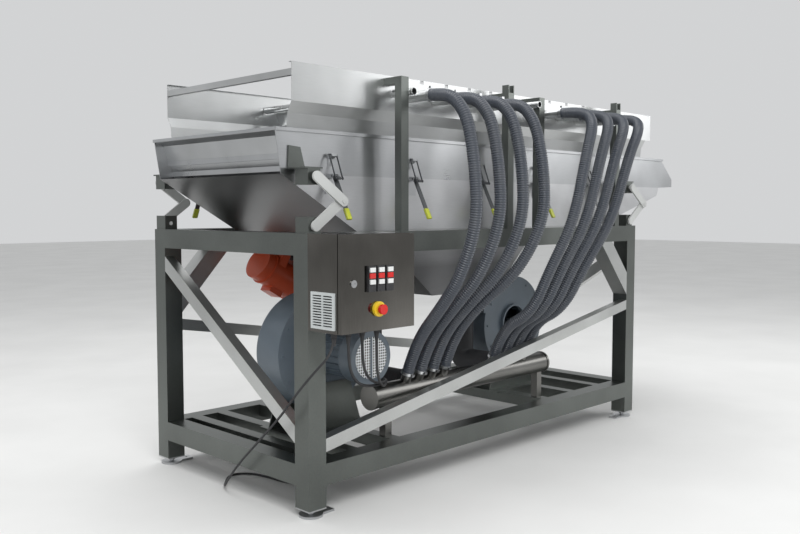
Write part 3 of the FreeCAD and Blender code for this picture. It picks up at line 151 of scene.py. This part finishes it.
def share_between(tree, source, low, high):
    """A number's share of the way between two others, from 0 to 1."""
    node = add(tree, "ShaderNodeMapRange")
    node.inputs["From Min"].default_value = low
    node.inputs["From Max"].default_value = high
    tree.links.new(source, node.inputs["Value"])
    return node.outputs["Result"]


def bump(tree, bsdf, source, strength, distance):
    node = add(tree, "ShaderNodeBump", Strength=strength, Distance=distance)
    tree.links.new(source, node.inputs["Height"])
    tree.links.new(node.outputs["Normal"], bsdf.inputs["Normal"])


# Brushed sheet: how much of its cloud comes from the fine grain
GRAIN_SHARE = 0.2


def brushed(name, color, rough, grain=(1.5, 60, 60), blotch=0.06):
    """Rolled stainless sheet: a fine grain one way and soft cloudy marks."""
    mat, tree, bsdf = shader(name, color, rough, metallic=1.0)
    grain_fac = object_noise(tree, 14, detail=5, stretch=grain)
    cloud = reckon(tree, "MULTIPLY", object_noise(tree, 2.2, detail=3), 1 - GRAIN_SHARE)
    mixed = reckon(tree, "MULTIPLY_ADD", grain_fac, GRAIN_SHARE, cloud)
    dark = tuple(c * (1 - 2 * blotch) for c in color)
    light = tuple(min(1, c * (1 + blotch)) for c in color)
    tree.links.new(ramp(tree, mixed, dark, light), bsdf.inputs["Base Color"])
    tree.links.new(spread(tree, mixed, rough - 0.1, rough + 0.12), bsdf.inputs["Roughness"])
    bump(tree, bsdf, grain_fac, 0.05, 0.0003)
    return mat


# Painted shade: the pan's sides darken between these two heights, just under the deck, where the
# deck shades them
SIDE_FADE = (0.98, 1.16)


def sided(name, color, rough, painted_shade_share):
    """Brushed sheet with painted light and shade: lighter on its upright sides above the deck
    than on its ends and bottom.
    """
    mat = brushed(name, color, rough, blotch=0.13)
    tree = mat.node_tree
    base = tree.nodes["Principled BSDF"].inputs["Base Color"]
    across = part_of(tree, "Normal", "Y")
    upright = reckon(tree, "MULTIPLY", across, across)
    above = share_between(tree, part_of(tree, "Object", "Z"), *SIDE_FADE)
    shade = add(tree, "ShaderNodeMix", data_type="RGBA", blend_type="MULTIPLY")
    # painted light: full colour on upright faces above the deck; everywhere else the colour is
    # multiplied down into painted shade
    painted_lit_share = reckon(tree, "MULTIPLY", upright, above)
    tree.links.new(spread(tree, painted_lit_share, 1, 0), shade.inputs[0])
    tree.links.new(base.links[0].from_socket, shade.inputs[MIX_FIRST])
    shade.inputs[MIX_SECOND].default_value = (painted_shade_share, painted_shade_share, painted_shade_share, 1)
    tree.links.new(shade.outputs[MIX_RESULT], base)
    return mat


# Grey of settled dust, added to paint and plastic where it gathers
DUST = 0.03


def painted(name, color, rough=0.42, grime=0.25, metallic=0.0):
    """Sprayed paint: a fine peel, and dust that gathers in broad patches."""
    mat, tree, bsdf = shader(name, color, rough, metallic=metallic, Coat_Weight=0.15,
                             Coat_Roughness=0.3)
    cloud = object_noise(tree, 3.0, detail=5)
    dull = tuple(c * (1 - grime) + DUST * grime for c in color)
    tree.links.new(ramp(tree, cloud, dull, color, 0.35, 0.62), bsdf.inputs["Base Color"])
    tree.links.new(spread(tree, cloud, rough + 0.12, rough - 0.06), bsdf.inputs["Roughness"])
    bump(tree, bsdf, object_noise(tree, 420, detail=2), 0.1, 0.0004)
    return mat


# Scale of the fine skin on moulded plastic
SKIN_SCALE = 900


def moulded(name, color, rough=0.45, grain=0.12):
    """Moulded plastic or rubber with a fine skin."""
    mat, tree, bsdf = shader(name, color, rough)
    cloud = object_noise(tree, 9, detail=4)
    dusty = tuple(c * 0.8 + DUST for c in color)
    tree.links.new(ramp(tree, cloud, color, dusty, 0.45, 0.8), bsdf.inputs["Base Color"])
    tree.links.new(spread(tree, cloud, rough - 0.05, rough + 0.15), bsdf.inputs["Roughness"])
    bump(tree, bsdf, object_noise(tree, SKIN_SCALE, detail=2), grain, 0.0003)
    return mat


# The disc round the stop button ends below this height, the stations start above it
DISC_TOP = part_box("estop_button")[1][2] + 0.03


def holder_plastic():
    """Black station bodies, and the yellow disc below them in the same node."""
    mat, tree, bsdf = shader("holder_plastic", (0.02, 0.02, 0.022), 0.35)
    in_disc = reckon(tree, "LESS_THAN", part_of(tree, "Object", "Z"), DISC_TOP)
    cloud = object_noise(tree, 30, detail=3)
    black = ramp(tree, cloud, (0.016, 0.016, 0.018), (0.03, 0.03, 0.032))
    yellow = ramp(tree, cloud, (0.72, 0.50, 0.02), (0.82, 0.60, 0.04))
    mix = add(tree, "ShaderNodeMix", data_type="RGBA")
    tree.links.new(in_disc, mix.inputs["Factor"])
    tree.links.new(black, mix.inputs[MIX_FIRST])
    tree.links.new(yellow, mix.inputs[MIX_SECOND])
    tree.links.new(mix.outputs[MIX_RESULT], bsdf.inputs["Base Color"])
    tree.links.new(spread(tree, cloud, 0.28, 0.42), bsdf.inputs["Roughness"])
    bump(tree, bsdf, object_noise(tree, SKIN_SCALE, detail=2), 0.05, 0.0003)
    return mat


# Half the width of the soft edge round each hole, as a share of the pitch
HOLE_EDGE = 0.05


def perforated(name, color, pitch, hole):
    """Pressed sheet with rows of small round holes that show dark: painted shade, as the sheet
    is not cut through.
    """
    mat, tree, bsdf = shader(name, color, 0.4, metallic=0.6)
    coords = add(tree, "ShaderNodeTexCoord")
    scaled = add(tree, "ShaderNodeVectorMath", operation="SCALE")
    scaled.inputs["Scale"].default_value = 1 / pitch
    tree.links.new(coords.outputs["Object"], scaled.inputs[0])
    flat = add(tree, "ShaderNodeVectorMath", operation="MULTIPLY")
    flat.inputs[1].default_value = (1, 0, 1)
    tree.links.new(scaled.outputs[0], flat.inputs[0])
    cell = add(tree, "ShaderNodeVectorMath", operation="FRACTION")
    tree.links.new(flat.outputs[0], cell.inputs[0])
    centred = add(tree, "ShaderNodeVectorMath", operation="DISTANCE")
    centred.inputs[1].default_value = (0.5, 0, 0.5)
    tree.links.new(cell.outputs[0], centred.inputs[0])
    solid = share_between(tree, centred.outputs["Value"], hole - HOLE_EDGE, hole + HOLE_EDGE)
    # the holes are painted shade: near black where the dark space behind the sheet would show
    # through
    tree.links.new(ramp(tree, solid, (0.01, 0.01, 0.01), color, 0.2, 0.8),
                   bsdf.inputs["Base Color"])
    tree.links.new(spread(tree, object_noise(tree, 40), 0.3, 0.5), bsdf.inputs["Roughness"])
    bump(tree, bsdf, solid, 0.5, 0.002)
    return mat


MATS = {
    # frame_tube and brace_tube are one tube in shade and in light: the frame's colour is
    # darkened with painted shade, the braces' colour is lightened with a painted highlight
    "frame": brushed("frame_tube", (0.165, 0.177, 0.167), 0.36, grain=(9, 9, 9), blotch=0.13),
    "brace": brushed("brace_tube", (0.56, 0.57, 0.56), 0.36, grain=(10, 10, 10), blotch=0.1),
    "steel": brushed("bright_steel", (0.50, 0.51, 0.52), 0.30, grain=(20, 20, 20)),
    "latch": brushed("latch_steel", (0.13, 0.135, 0.14), 0.38, grain=(20, 20, 20)),
    # manifold_steel is darkened and browned with painted shade
    "main": brushed("manifold_steel", (0.20, 0.197, 0.187), 0.28, grain=(1.5, 30, 30),
                    blotch=0.16),
    "sheet": brushed("stainless_sheet", (0.49, 0.50, 0.51), 0.29, blotch=0.13),
    # pan_sheet carries painted shade on its ends, its bottom and its sides below the deck
    "pan": sided("pan_sheet", (0.60, 0.605, 0.615), 0.33, 0.28),
    "hood": brushed("hood_sheet", (0.53, 0.54, 0.54), 0.30, blotch=0.13),
    # cabinet_sheet is polished steel darkened and warmed with a painted reflection of a dark
    # room
    "cabinet": brushed("cabinet_sheet", (0.17, 0.162, 0.15), 0.11, grain=(30, 30, 1.5),
                       blotch=0.2),
    "hose": moulded("hose_skin", (0.052, 0.060, 0.075), rough=0.27, grain=0.05),
    "duct": moulded("duct_rubber", (0.030, 0.031, 0.034), rough=0.6),
    "blower": painted("blower_paint", (0.135, 0.17, 0.205), rough=0.36),
    "arm": painted("arm_paint", (0.50, 0.51, 0.50), rough=0.4, grime=0.16),
    "vibrator": painted("vibrator_paint", (0.58, 0.075, 0.02), rough=0.33, grime=0.18),
    "iron": painted("cast_iron", (0.16, 0.16, 0.17), rough=0.6, metallic=0.8),
    "white": moulded("white_plastic", (0.74, 0.75, 0.74), rough=0.3, grain=0.05),
    "red": moulded("red_plastic", (0.60, 0.015, 0.012), rough=0.2, grain=0.03),
    "grip": moulded("grip_plastic", (0.46, 0.50, 0.03), rough=0.35, grain=0.08),
    "grey": moulded("grille_plastic", (0.52, 0.55, 0.55), rough=0.45),
    "black": moulded("black_plastic", (0.018, 0.018, 0.02), rough=0.45),
    "cable": moulded("cable_rubber", (0.018, 0.018, 0.02), rough=0.45, grain=0.05),
    "holder": holder_plastic(),
    "guard": perforated("guard_sheet", (0.80, 0.82, 0.83), 0.0125, 0.33),
}

NODE_MATS = {
    "frame": ("frame_legs", "frame_rails", "deck_crossmembers", "hood_posts", "mount_bases",
              "mount_brackets", "blower_stands"),
    "brace": ("frame_braces",),
    "steel": ("levelling_feet", "hose_clamps", "latch_plates", "door_lock"),
    "latch": ("latch_bails_front", "latch_bails_rear", "latch_levers_front",
              "latch_levers_rear"),
    "main": ("manifold",),
    "sheet": ("trough_shell", "screen_deck"),
    "pan": ("lower_pan",),
    "hood": ("hood_walls", "hood_cross_bars", "air_knives"),
    "cabinet": ("box_shell", "box_door"),
    "duct": ("blower_ducts",),
    "blower": ("blower_housings", "blower_motors", "impeller_left", "impeller_right"),
    "arm": ("lower_arms_left", "lower_arms_right", "upper_arms_left", "upper_arms_right"),
    "vibrator": ("vibrator_housings",),
    "iron": ("rotor_front", "rotor_rear"),
    "white": ("start_button_1", "start_button_2", "start_button_3", "stop_button_1",
              "stop_button_2", "stop_button_3"),
    "holder": ("button_holders",),
    "red": ("indicator_lamps", "estop_button"),
    "grey": ("filter_grille",),
    "black": ("cable_glands", "mains_plug"),
}

# Sheet-metal and tube nodes whose outer edges get a small round
EDGE_ROUND = {"frame_legs": 0.004, "frame_rails": 0.004, "frame_braces": 0.003,
              "hood_posts": 0.003, "deck_crossmembers": 0.003, "box_door": 0.0015,
              "estop_button": 0.002, "filter_grille": 0.0008}
EDGE_SEGMENTS = 2
EDGE_ANGLE = 60


def dress_nodes():
    """Materials and edge rounds for the CAD nodes."""
    for key, names in NODE_MATS.items():
        for name in names:
            mesh = NODES[name].data
            mesh.materials.clear()
            mesh.materials.append(MATS[key])
    for name, radius in EDGE_ROUND.items():
        edge = NODES[name].modifiers.new("edge_round", "BEVEL")
        edge.width = radius
        edge.segments = EDGE_SEGMENTS
        edge.limit_method = "ANGLE"
        edge.angle_limit = radians(EDGE_ANGLE)
        edge.harden_normals = True


def link(name, data, mat, body):
    """A new piece from a mesh or a curve, riding on a body."""
    data.materials.append(MATS[mat])
    piece = bpy.data.objects.new(name, data)
    bpy.context.scene.collection.objects.link(piece)
    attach(piece, body)
    return piece


# Cords and hoses. Their routes repeat the points of the CAD source, in millimetres.

SPLINE_STEPS = 10
SPLINE_ORDER = 3
CABLE_FACETS = 5


def mm(points):
    """Points given in millimetres as vectors in metres."""
    return [Vector(p) / 1000 for p in points]


def spline_curve(name, points, radius=0.0):
    """A smooth curve with the route's points as its control points."""
    data = bpy.data.curves.new(name, "CURVE")
    data.dimensions = "3D"
    data.resolution_u = SPLINE_STEPS
    spline = data.splines.new("NURBS")
    spline.points.add(len(points) - 1)
    for target, point in zip(spline.points, points):
        target.co = (*point, 1)
    spline.order_u = SPLINE_ORDER
    spline.use_endpoint_u = True
    data.bevel_depth = radius
    data.bevel_resolution = CABLE_FACETS
    data.use_fill_caps = radius > 0
    return data


def middle_line(name, points):
    """The points that the curve along a route passes through."""
    probe = bpy.data.objects.new("probe", spline_curve(name + "_line", points))
    mesh = bpy.data.meshes.new_from_object(probe)
    line = [v.co.copy() for v in mesh.vertices]
    bpy.data.objects.remove(probe)
    bpy.data.meshes.remove(mesh)
    return line


def length_of(line):
    return sum((b - a).length for a, b in zip(line, line[1:]))


def even_points(points, step):
    """Points a fixed step apart along a line of points."""
    lengths = [0.0]
    for a, b in zip(points, points[1:]):
        lengths.append(lengths[-1] + (b - a).length)
    count = max(2, round(lengths[-1] / step))
    result = []
    index = 0
    for k in range(count + 1):
        at = lengths[-1] * k / count
        while index < len(lengths) - 2 and lengths[index + 1] < at:
            index += 1
        share = (at - lengths[index]) / (lengths[index + 1] - lengths[index])
        result.append(points[index].lerp(points[index + 1], min(1.0, share)))
    return result


def skin(rings, sides):
    """Faces between neighbouring rings of vertices."""
    faces = []
    for i in range(rings - 1):
        for k in range(sides):
            a = i * sides + k
            b = i * sides + (k + 1) % sides
            faces.append((a, b, b + sides, a + sides))
    return faces


def ribbed_tube(name, points, profile, sides):
    """A tube round a line of points whose radius at each point comes from a profile."""
    mesh = bpy.data.meshes.new(name)
    verts = []
    normal = None
    for i, point in enumerate(points):
        ahead = (points[min(i + 1, len(points) - 1)] - points[max(i - 1, 0)]).normalized()
        if normal is None:
            normal = ahead.orthogonal().normalized()
        normal = (normal - ahead * normal.dot(ahead)).normalized()
        across = ahead.cross(normal)
        radius = profile(i)
        for k in range(sides):
            turn = tau * k / sides
            verts.append(point + (normal * cos(turn) + across * sin(turn)) * radius)
    faces = skin(len(points), sides)
    faces.append(tuple(range(sides - 1, -1, -1)))
    faces.append(tuple((len(points) - 1) * sides + k for k in range(sides)))
    mesh.from_pydata([tuple(v) for v in verts], [], faces)
    mesh.shade_smooth()
    return mesh


# Each hose by its points: how far out of the knife, how far down, and the share of the way
# from the knife's place to the foot's; the first set of four, then the second
HOSE_OUT = ((0, 90, 162, 228, 268, 280, 188, 75), (0, 97, 198, 258, 268, 248, 172, 84))
HOSE_DOWN = ((0, 0, 35, 123, 341, 560, 800, 944), (0, 0, 28, 90, 225, 564, 787, 1022))
HOSE_ALONG = ((0, 0, 0.02, 0.06, 0.03, 0.09, 0.4, 0.95),
              (0, 0, 0.08, 0.24, 0.42, 0.62, 0.82, 0.92))
HOSES_PER_SET = 4

# Millimetres: the first knife and stub of each set, their pitches, the (Y, Z) where the
# knives and the stubs end, and the straight run out of a stub
HOSE_TOPS = (-577, 440)
KNIFE_PITCH = 169.5
KNIFE_END = (-600, 1757)
HOSE_LOWS = (-578, 60)
STUB_PITCH = 86
FOOT = (-464.07, 485.88)
FOOT_RUN = 170
FOOT_LEAN = 20

# Metres: the hose's section, one rib in steps below its full radius, and its plain ends
HOSE_RADIUS = 0.028
HOSE_SIDES = 28
RIB_PITCH = 0.0108
RIB_STEPS = (0.0, 0.0004, 0.0026, 0.0036, 0.0026, 0.0004)
CUFF = 0.035
CUFF_DEPTH = 0.0006


def hose_route(i):
    """The points of hose i, from its knife to its stub."""
    group, place = divmod(i, HOSES_PER_SET)
    top = HOSE_TOPS[group] + place * KNIFE_PITCH
    low = HOSE_LOWS[group] + place * STUB_PITCH
    lean = radians(FOOT_LEAN)
    points = [(top + (low - top) * share, KNIFE_END[0] - out, KNIFE_END[1] - down)
              for out, down, share in zip(HOSE_OUT[group], HOSE_DOWN[group], HOSE_ALONG[group])]
    points.append((low, FOOT[0] - FOOT_RUN * sin(lean), FOOT[1] + FOOT_RUN * cos(lean)))
    points.append((low, FOOT[0], FOOT[1]))
    return mm(points)


def make_hoses():
    step = RIB_PITCH / len(RIB_STEPS)
    for i in range(HOSES_PER_SET * len(HOSE_TOPS)):
        name = "air_hose_%d" % (i + 1)
        steps = even_points(middle_line(name, hose_route(i)), step)
        last = len(steps) - 1

        def profile(k):
            cuff = min(k, last - k) * step < CUFF
            return HOSE_RADIUS - (CUFF_DEPTH if cuff else RIB_STEPS[k % len(RIB_STEPS)])

        mesh = ribbed_tube(name, steps, profile, HOSE_SIDES)
        piece = link(name, mesh, "hose", "frame")
        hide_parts("hose_%d" % (i + 1))


# The supply cord from its gland to the floor behind the bottom rail, then its coil: half
# turns, each one step tighter, a last small one, and the tail that crosses over them
CORD_ROUTE = ((-1230, -700, 749.6), (-1236, -698, 712), (-1252, -684, 668), (-1276, -647, 622),
              (-1302, -607, 567), (-1322, -555, 500), (-1327, -490, 427), (-1330, -424, 366),
              (-1328, -355, 309), (-1324, -285, 251), (-1319, -216, 196), (-1317, -150, 136),
              (-1312, -90, 76), (-1294, -28, 24), (-1242, 45, 5.3), (-1150, 150, 5.3),
              (-1065, 100, 5.3), (-1040, -10, 5.3), (-1035, -115, 5.3), (-1005, -210, 5.3),
              (-945, -249, 5.3), (-880, -249, 5.3))
CORD_RADIUS = 0.005
COIL_HALF_TURNS = 7
COIL_OUTER = 84
COIL_STEP = 5.4
COIL_LAST = 30
TAIL = ((14, 0), (39, 10.8), (104, 10.8), (130, 0), (154, 0))
POINTS_PER_HALF_TURN = 8

# The motor leads from their glands up into the left motor's terminal box. The CAD has the
# first; the two others hang beside it.
LEAD_ROUTES = (((-1000, -700, 749.6), (-1000, -700, 650), (-960, -665, 555), (-870, -600, 490),
                (-770, -520, 478), (-690, -440, 481), (-684, -345, 466), (-686, -285, 492),
                (-686, -280, 553.6)),
               ((-1080, -700, 749.6), (-1080, -700, 668), (-1046, -676, 592),
                (-955, -622, 530), (-842, -560, 496), (-735, -492, 484), (-692, -402, 478),
                (-686, -322, 476), (-686, -305, 553.6)),
               ((-1155, -700, 749.6), (-1155, -700, 672), (-1128, -684, 596),
                (-1040, -634, 530), (-915, -574, 496), (-790, -522, 482), (-704, -440, 480),
                (-688, -345, 472), (-686, -262, 482), (-686, -255, 553.6)))
LEAD_RADIUS = 0.006


def coil_points():
    """The put-away turns, half circles that shrink by one step each, and the tail over them."""
    at = Vector(CORD_ROUTE[-1])
    ahead = (at - Vector(CORD_ROUTE[-2])).normalized()
    points = []
    for turn in range(COIL_HALF_TURNS + 1):
        radius = COIL_OUTER - turn * COIL_STEP if turn < COIL_HALF_TURNS else COIL_LAST
        inward = Vector((-ahead.y, ahead.x, 0))
        middle = at + inward * radius
        # control points stand a little outside the arc that the spline follows
        lift = 1 / cos(pi / POINTS_PER_HALF_TURN / 2)
        for k in range(POINTS_PER_HALF_TURN):
            angle = pi * (k + 0.5) / POINTS_PER_HALF_TURN
            points.append(middle + (ahead * sin(angle) - inward * cos(angle)) * radius * lift)
        at = at + inward * (2 * radius)
        ahead = ahead * -1
    return points + [at + ahead * along + Vector((0, 0, up)) for along, up in TAIL]


def make_supply_cord():
    points = mm([Vector(p) for p in CORD_ROUTE[:-1]] + coil_points())
    data = spline_curve("supply_cord", points, CORD_RADIUS)
    piece = link("supply_cord", data, "cable", "frame")
    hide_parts("mains_cord", "mains_coil")
    length = length_of(middle_line("supply_cord", points))


def make_lead(name, route, replaced=()):
    data = spline_curve(name, mm(route), LEAD_RADIUS)
    piece = link(name, data, "cable", "frame")
    if replaced:
        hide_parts(*replaced)
    line = middle_line(name, mm(route))


def make_leads():
    make_lead("blower_lead", LEAD_ROUTES[0], ("motor_lead",))
    for number, route in enumerate(LEAD_ROUTES[1:], 2):
        make_lead("blower_lead_%d" % number, route)


# Small pieces

def rounded_block(name, size, radius):
    """A block with rounded edges, centred on the origin."""
    mesh = bpy.data.meshes.new(name)
    shape = bmesh.new()
    bmesh.ops.create_cube(shape, size=1)
    bmesh.ops.scale(shape, vec=size, verts=shape.verts)
    bmesh.ops.bevel(shape, geom=shape.edges[:], offset=radius, segments=3, affect="EDGES",
                    profile=0.5)
    shape.to_mesh(mesh)
    shape.free()
    mesh.shade_smooth()
    return mesh


def turned(name, outline, sides):
    """A solid turned from (radius, height) pairs about an upright axis."""
    mesh = bpy.data.meshes.new(name)
    verts = [(radius * cos(tau * k / sides), radius * sin(tau * k / sides), height)
             for radius, height in outline for k in range(sides)]
    faces = skin(len(outline), sides)
    faces.append(tuple(range(sides)))
    faces.append(tuple((len(outline) - 1) * sides + k for k in range(sides)))
    mesh.from_pydata(verts, [], faces)
    fix_normals(mesh)
    mesh.shade_smooth()
    return mesh


def fix_normals(mesh):
    shape = bmesh.new()
    shape.from_mesh(mesh)
    bmesh.ops.recalc_face_normals(shape, faces=shape.faces)
    shape.to_mesh(mesh)
    shape.free()


def moved(mesh, place, rotation=None):
    matrix = Matrix.Translation(Vector(place))
    if rotation is not None:
        matrix = matrix @ rotation.to_matrix().to_4x4()
    mesh.transform(matrix)
    return mesh


# The latches of the CAD source: the first one's X and their pitch, the (Y, Z) of the lever's
# pivot, the lever's lean in degrees, and how far down the lever its grip sits
LATCH_FIRST = -1.041
LATCH_PITCH = 0.48525
LATCHES = 5
LATCH_PIVOT = (0.492, 1.39)
LEVER_LEAN = 27
GRIP_MIDDLE = 0.178
GRIP_SIZE = (0.0275, 0.0115, 0.052)
GRIP_ROUND = 0.004


def make_grips():
    """Plastic sleeves on the ends of the latch levers."""
    lean = radians(LEVER_LEAN)
    for end, s in (("front", -1), ("rear", 1)):
        for i in range(LATCHES):
            name = "latch_grip_%s_%d" % (end, i)
            mesh = rounded_block(name, GRIP_SIZE, GRIP_ROUND)
            place = (LATCH_FIRST + i * LATCH_PITCH,
                     s * (LATCH_PIVOT[0] + GRIP_MIDDLE * sin(lean)),
                     LATCH_PIVOT[1] - GRIP_MIDDLE * cos(lean))
            moved(mesh, place, Euler((s * lean, 0, 0)))
            link(name, mesh, "grip", "levers_" + end)


BOX_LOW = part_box("box_shell")[0][2]
GLAND_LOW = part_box("cable_glands")[0][2]
GLAND_PLACES = ((-1.23, -0.7), (-1.155, -0.7), (-1.08, -0.7), (-1.0, -0.7))

# (radius, height) outlines that hang from the box's floor and from the gland's end
NUT_OUTLINE = ((0.0124, 0.0), (0.014, -0.001), (0.014, -0.007), (0.0124, -0.008))
NUT_SIDES = 6
TAPER_OUTLINE = ((0.0105, 0.0), (0.0105, -0.004), (0.0094, -0.010), (0.0080, -0.020),
                 (0.0072, -0.030), (0.0062, -0.032))
TAPER_SIDES = 24


def make_strain_reliefs():
    """A hexagon nut round each gland and a soft taper round its cable."""
    for k, (x, y) in enumerate(GLAND_PLACES):
        nut = turned("gland_nut_%d" % k, NUT_OUTLINE, NUT_SIDES)
        link(nut.name, moved(nut, (x, y, BOX_LOW)), "black", "frame")
        taper = turned("strain_relief_%d" % k, TAPER_OUTLINE, TAPER_SIDES)
        link(taper.name, moved(taper, (x, y, GLAND_LOW)), "black", "frame")


GUARD_RADIUS = 0.094
GUARD_GAP = 0.007
GUARD_THICK = 0.0012
GUARD_STEPS = 28


def make_guards():
    """The light perforated half moons that cover the cowls' air slots."""
    span = (GUARD_RADIUS ** 2 - GUARD_GAP ** 2) ** 0.5
    turn = radians(90) - GUARD_GAP / GUARD_RADIUS
    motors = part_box("blower_motors")
    for side, y, out in (("left", motors[0][1], -1), ("right", motors[1][1], 1)):
        low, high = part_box("impeller_" + side)
        x = (low[0] + high[0]) / 2
        z = (low[2] + high[2]) / 2
        for half, word in ((-1, "low"), (1, "high")):
            name = "cowl_guard_%s_%s" % (side, word)
            angles = [-turn + 2 * turn * i / GUARD_STEPS for i in range(GUARD_STEPS + 1)]
            rim = [(x + half * GUARD_RADIUS * cos(angle), z + span * sin(angle) / sin(turn))
                   for angle in angles]
            verts = [(a, y + out * deep, b) for deep in (0.0, GUARD_THICK) for a, b in rim]
            count = len(rim)
            faces = [tuple(range(count)), tuple(range(2 * count - 1, count - 1, -1))]
            faces += [(i, (i + 1) % count, (i + 1) % count + count, i + count)
                      for i in range(count)]
            mesh = bpy.data.meshes.new(name)
            mesh.from_pydata(verts, [], faces)
            fix_normals(mesh)
            link(name, mesh, "guard", "frame")


# Floor and light

FLOOR_REACH = 30
SKY_COLOR = (0.86, 0.87, 0.88, 1)
SKY_STRENGTH = 0.75
LIGHT_AIM = (0, 0, 1.0)

# name, place, width and height, power
LIGHTS = (("key", (-3.5, -4.5, 5.0), (4, 3), 230),
          ("fill", (5.0, -4.0, 3.5), (4, 3), 90),
          ("top", (0, 1.0, 6.0), (6, 4), 190))


def stage_material():
    mat, tree, bsdf = shader("floor_paint", (0.72, 0.72, 0.71), 0.75)
    cloud = object_noise(tree, 1.2, detail=3)
    tree.links.new(ramp(tree, cloud, (0.70, 0.70, 0.69), (0.75, 0.75, 0.74)),
                   bsdf.inputs["Base Color"])
    return mat


def make_stage():
    mesh = bpy.data.meshes.new("floor")
    corners = ((-1, -1), (1, -1), (1, 1), (-1, 1))
    mesh.from_pydata([(FLOOR_REACH * x, FLOOR_REACH * y, 0) for x, y in corners], [],
                     [(0, 1, 2, 3)])
    mesh.materials.append(stage_material())
    floor = bpy.data.objects.new("floor", mesh)
    bpy.context.scene.collection.objects.link(floor)


def area_light(name, place, size, power):
    data = bpy.data.lights.new(name, "AREA")
    data.shape = "RECTANGLE"
    data.size, data.size_y = size
    data.energy = power
    lamp = bpy.data.objects.new(name, data)
    lamp.location = place
    lamp.rotation_euler = (Vector(LIGHT_AIM) - Vector(place)).to_track_quat("-Z", "Y").to_euler()
    bpy.context.scene.collection.objects.link(lamp)


def make_light():
    world = bpy.data.worlds.new("studio")
    world.use_nodes = True
    back = world.node_tree.nodes["Background"]
    back.inputs["Color"].default_value = SKY_COLOR
    back.inputs["Strength"].default_value = SKY_STRENGTH
    bpy.context.scene.world = world
    for light in LIGHTS:
        area_light(*light)


make_camera()
make_supply_cord()
make_leads()
make_hoses()
dress_nodes()
make_grips()
make_strain_reliefs()
make_guards()
make_stage()
make_light()
bpy.context.scene.view_settings.view_transform = "Standard"
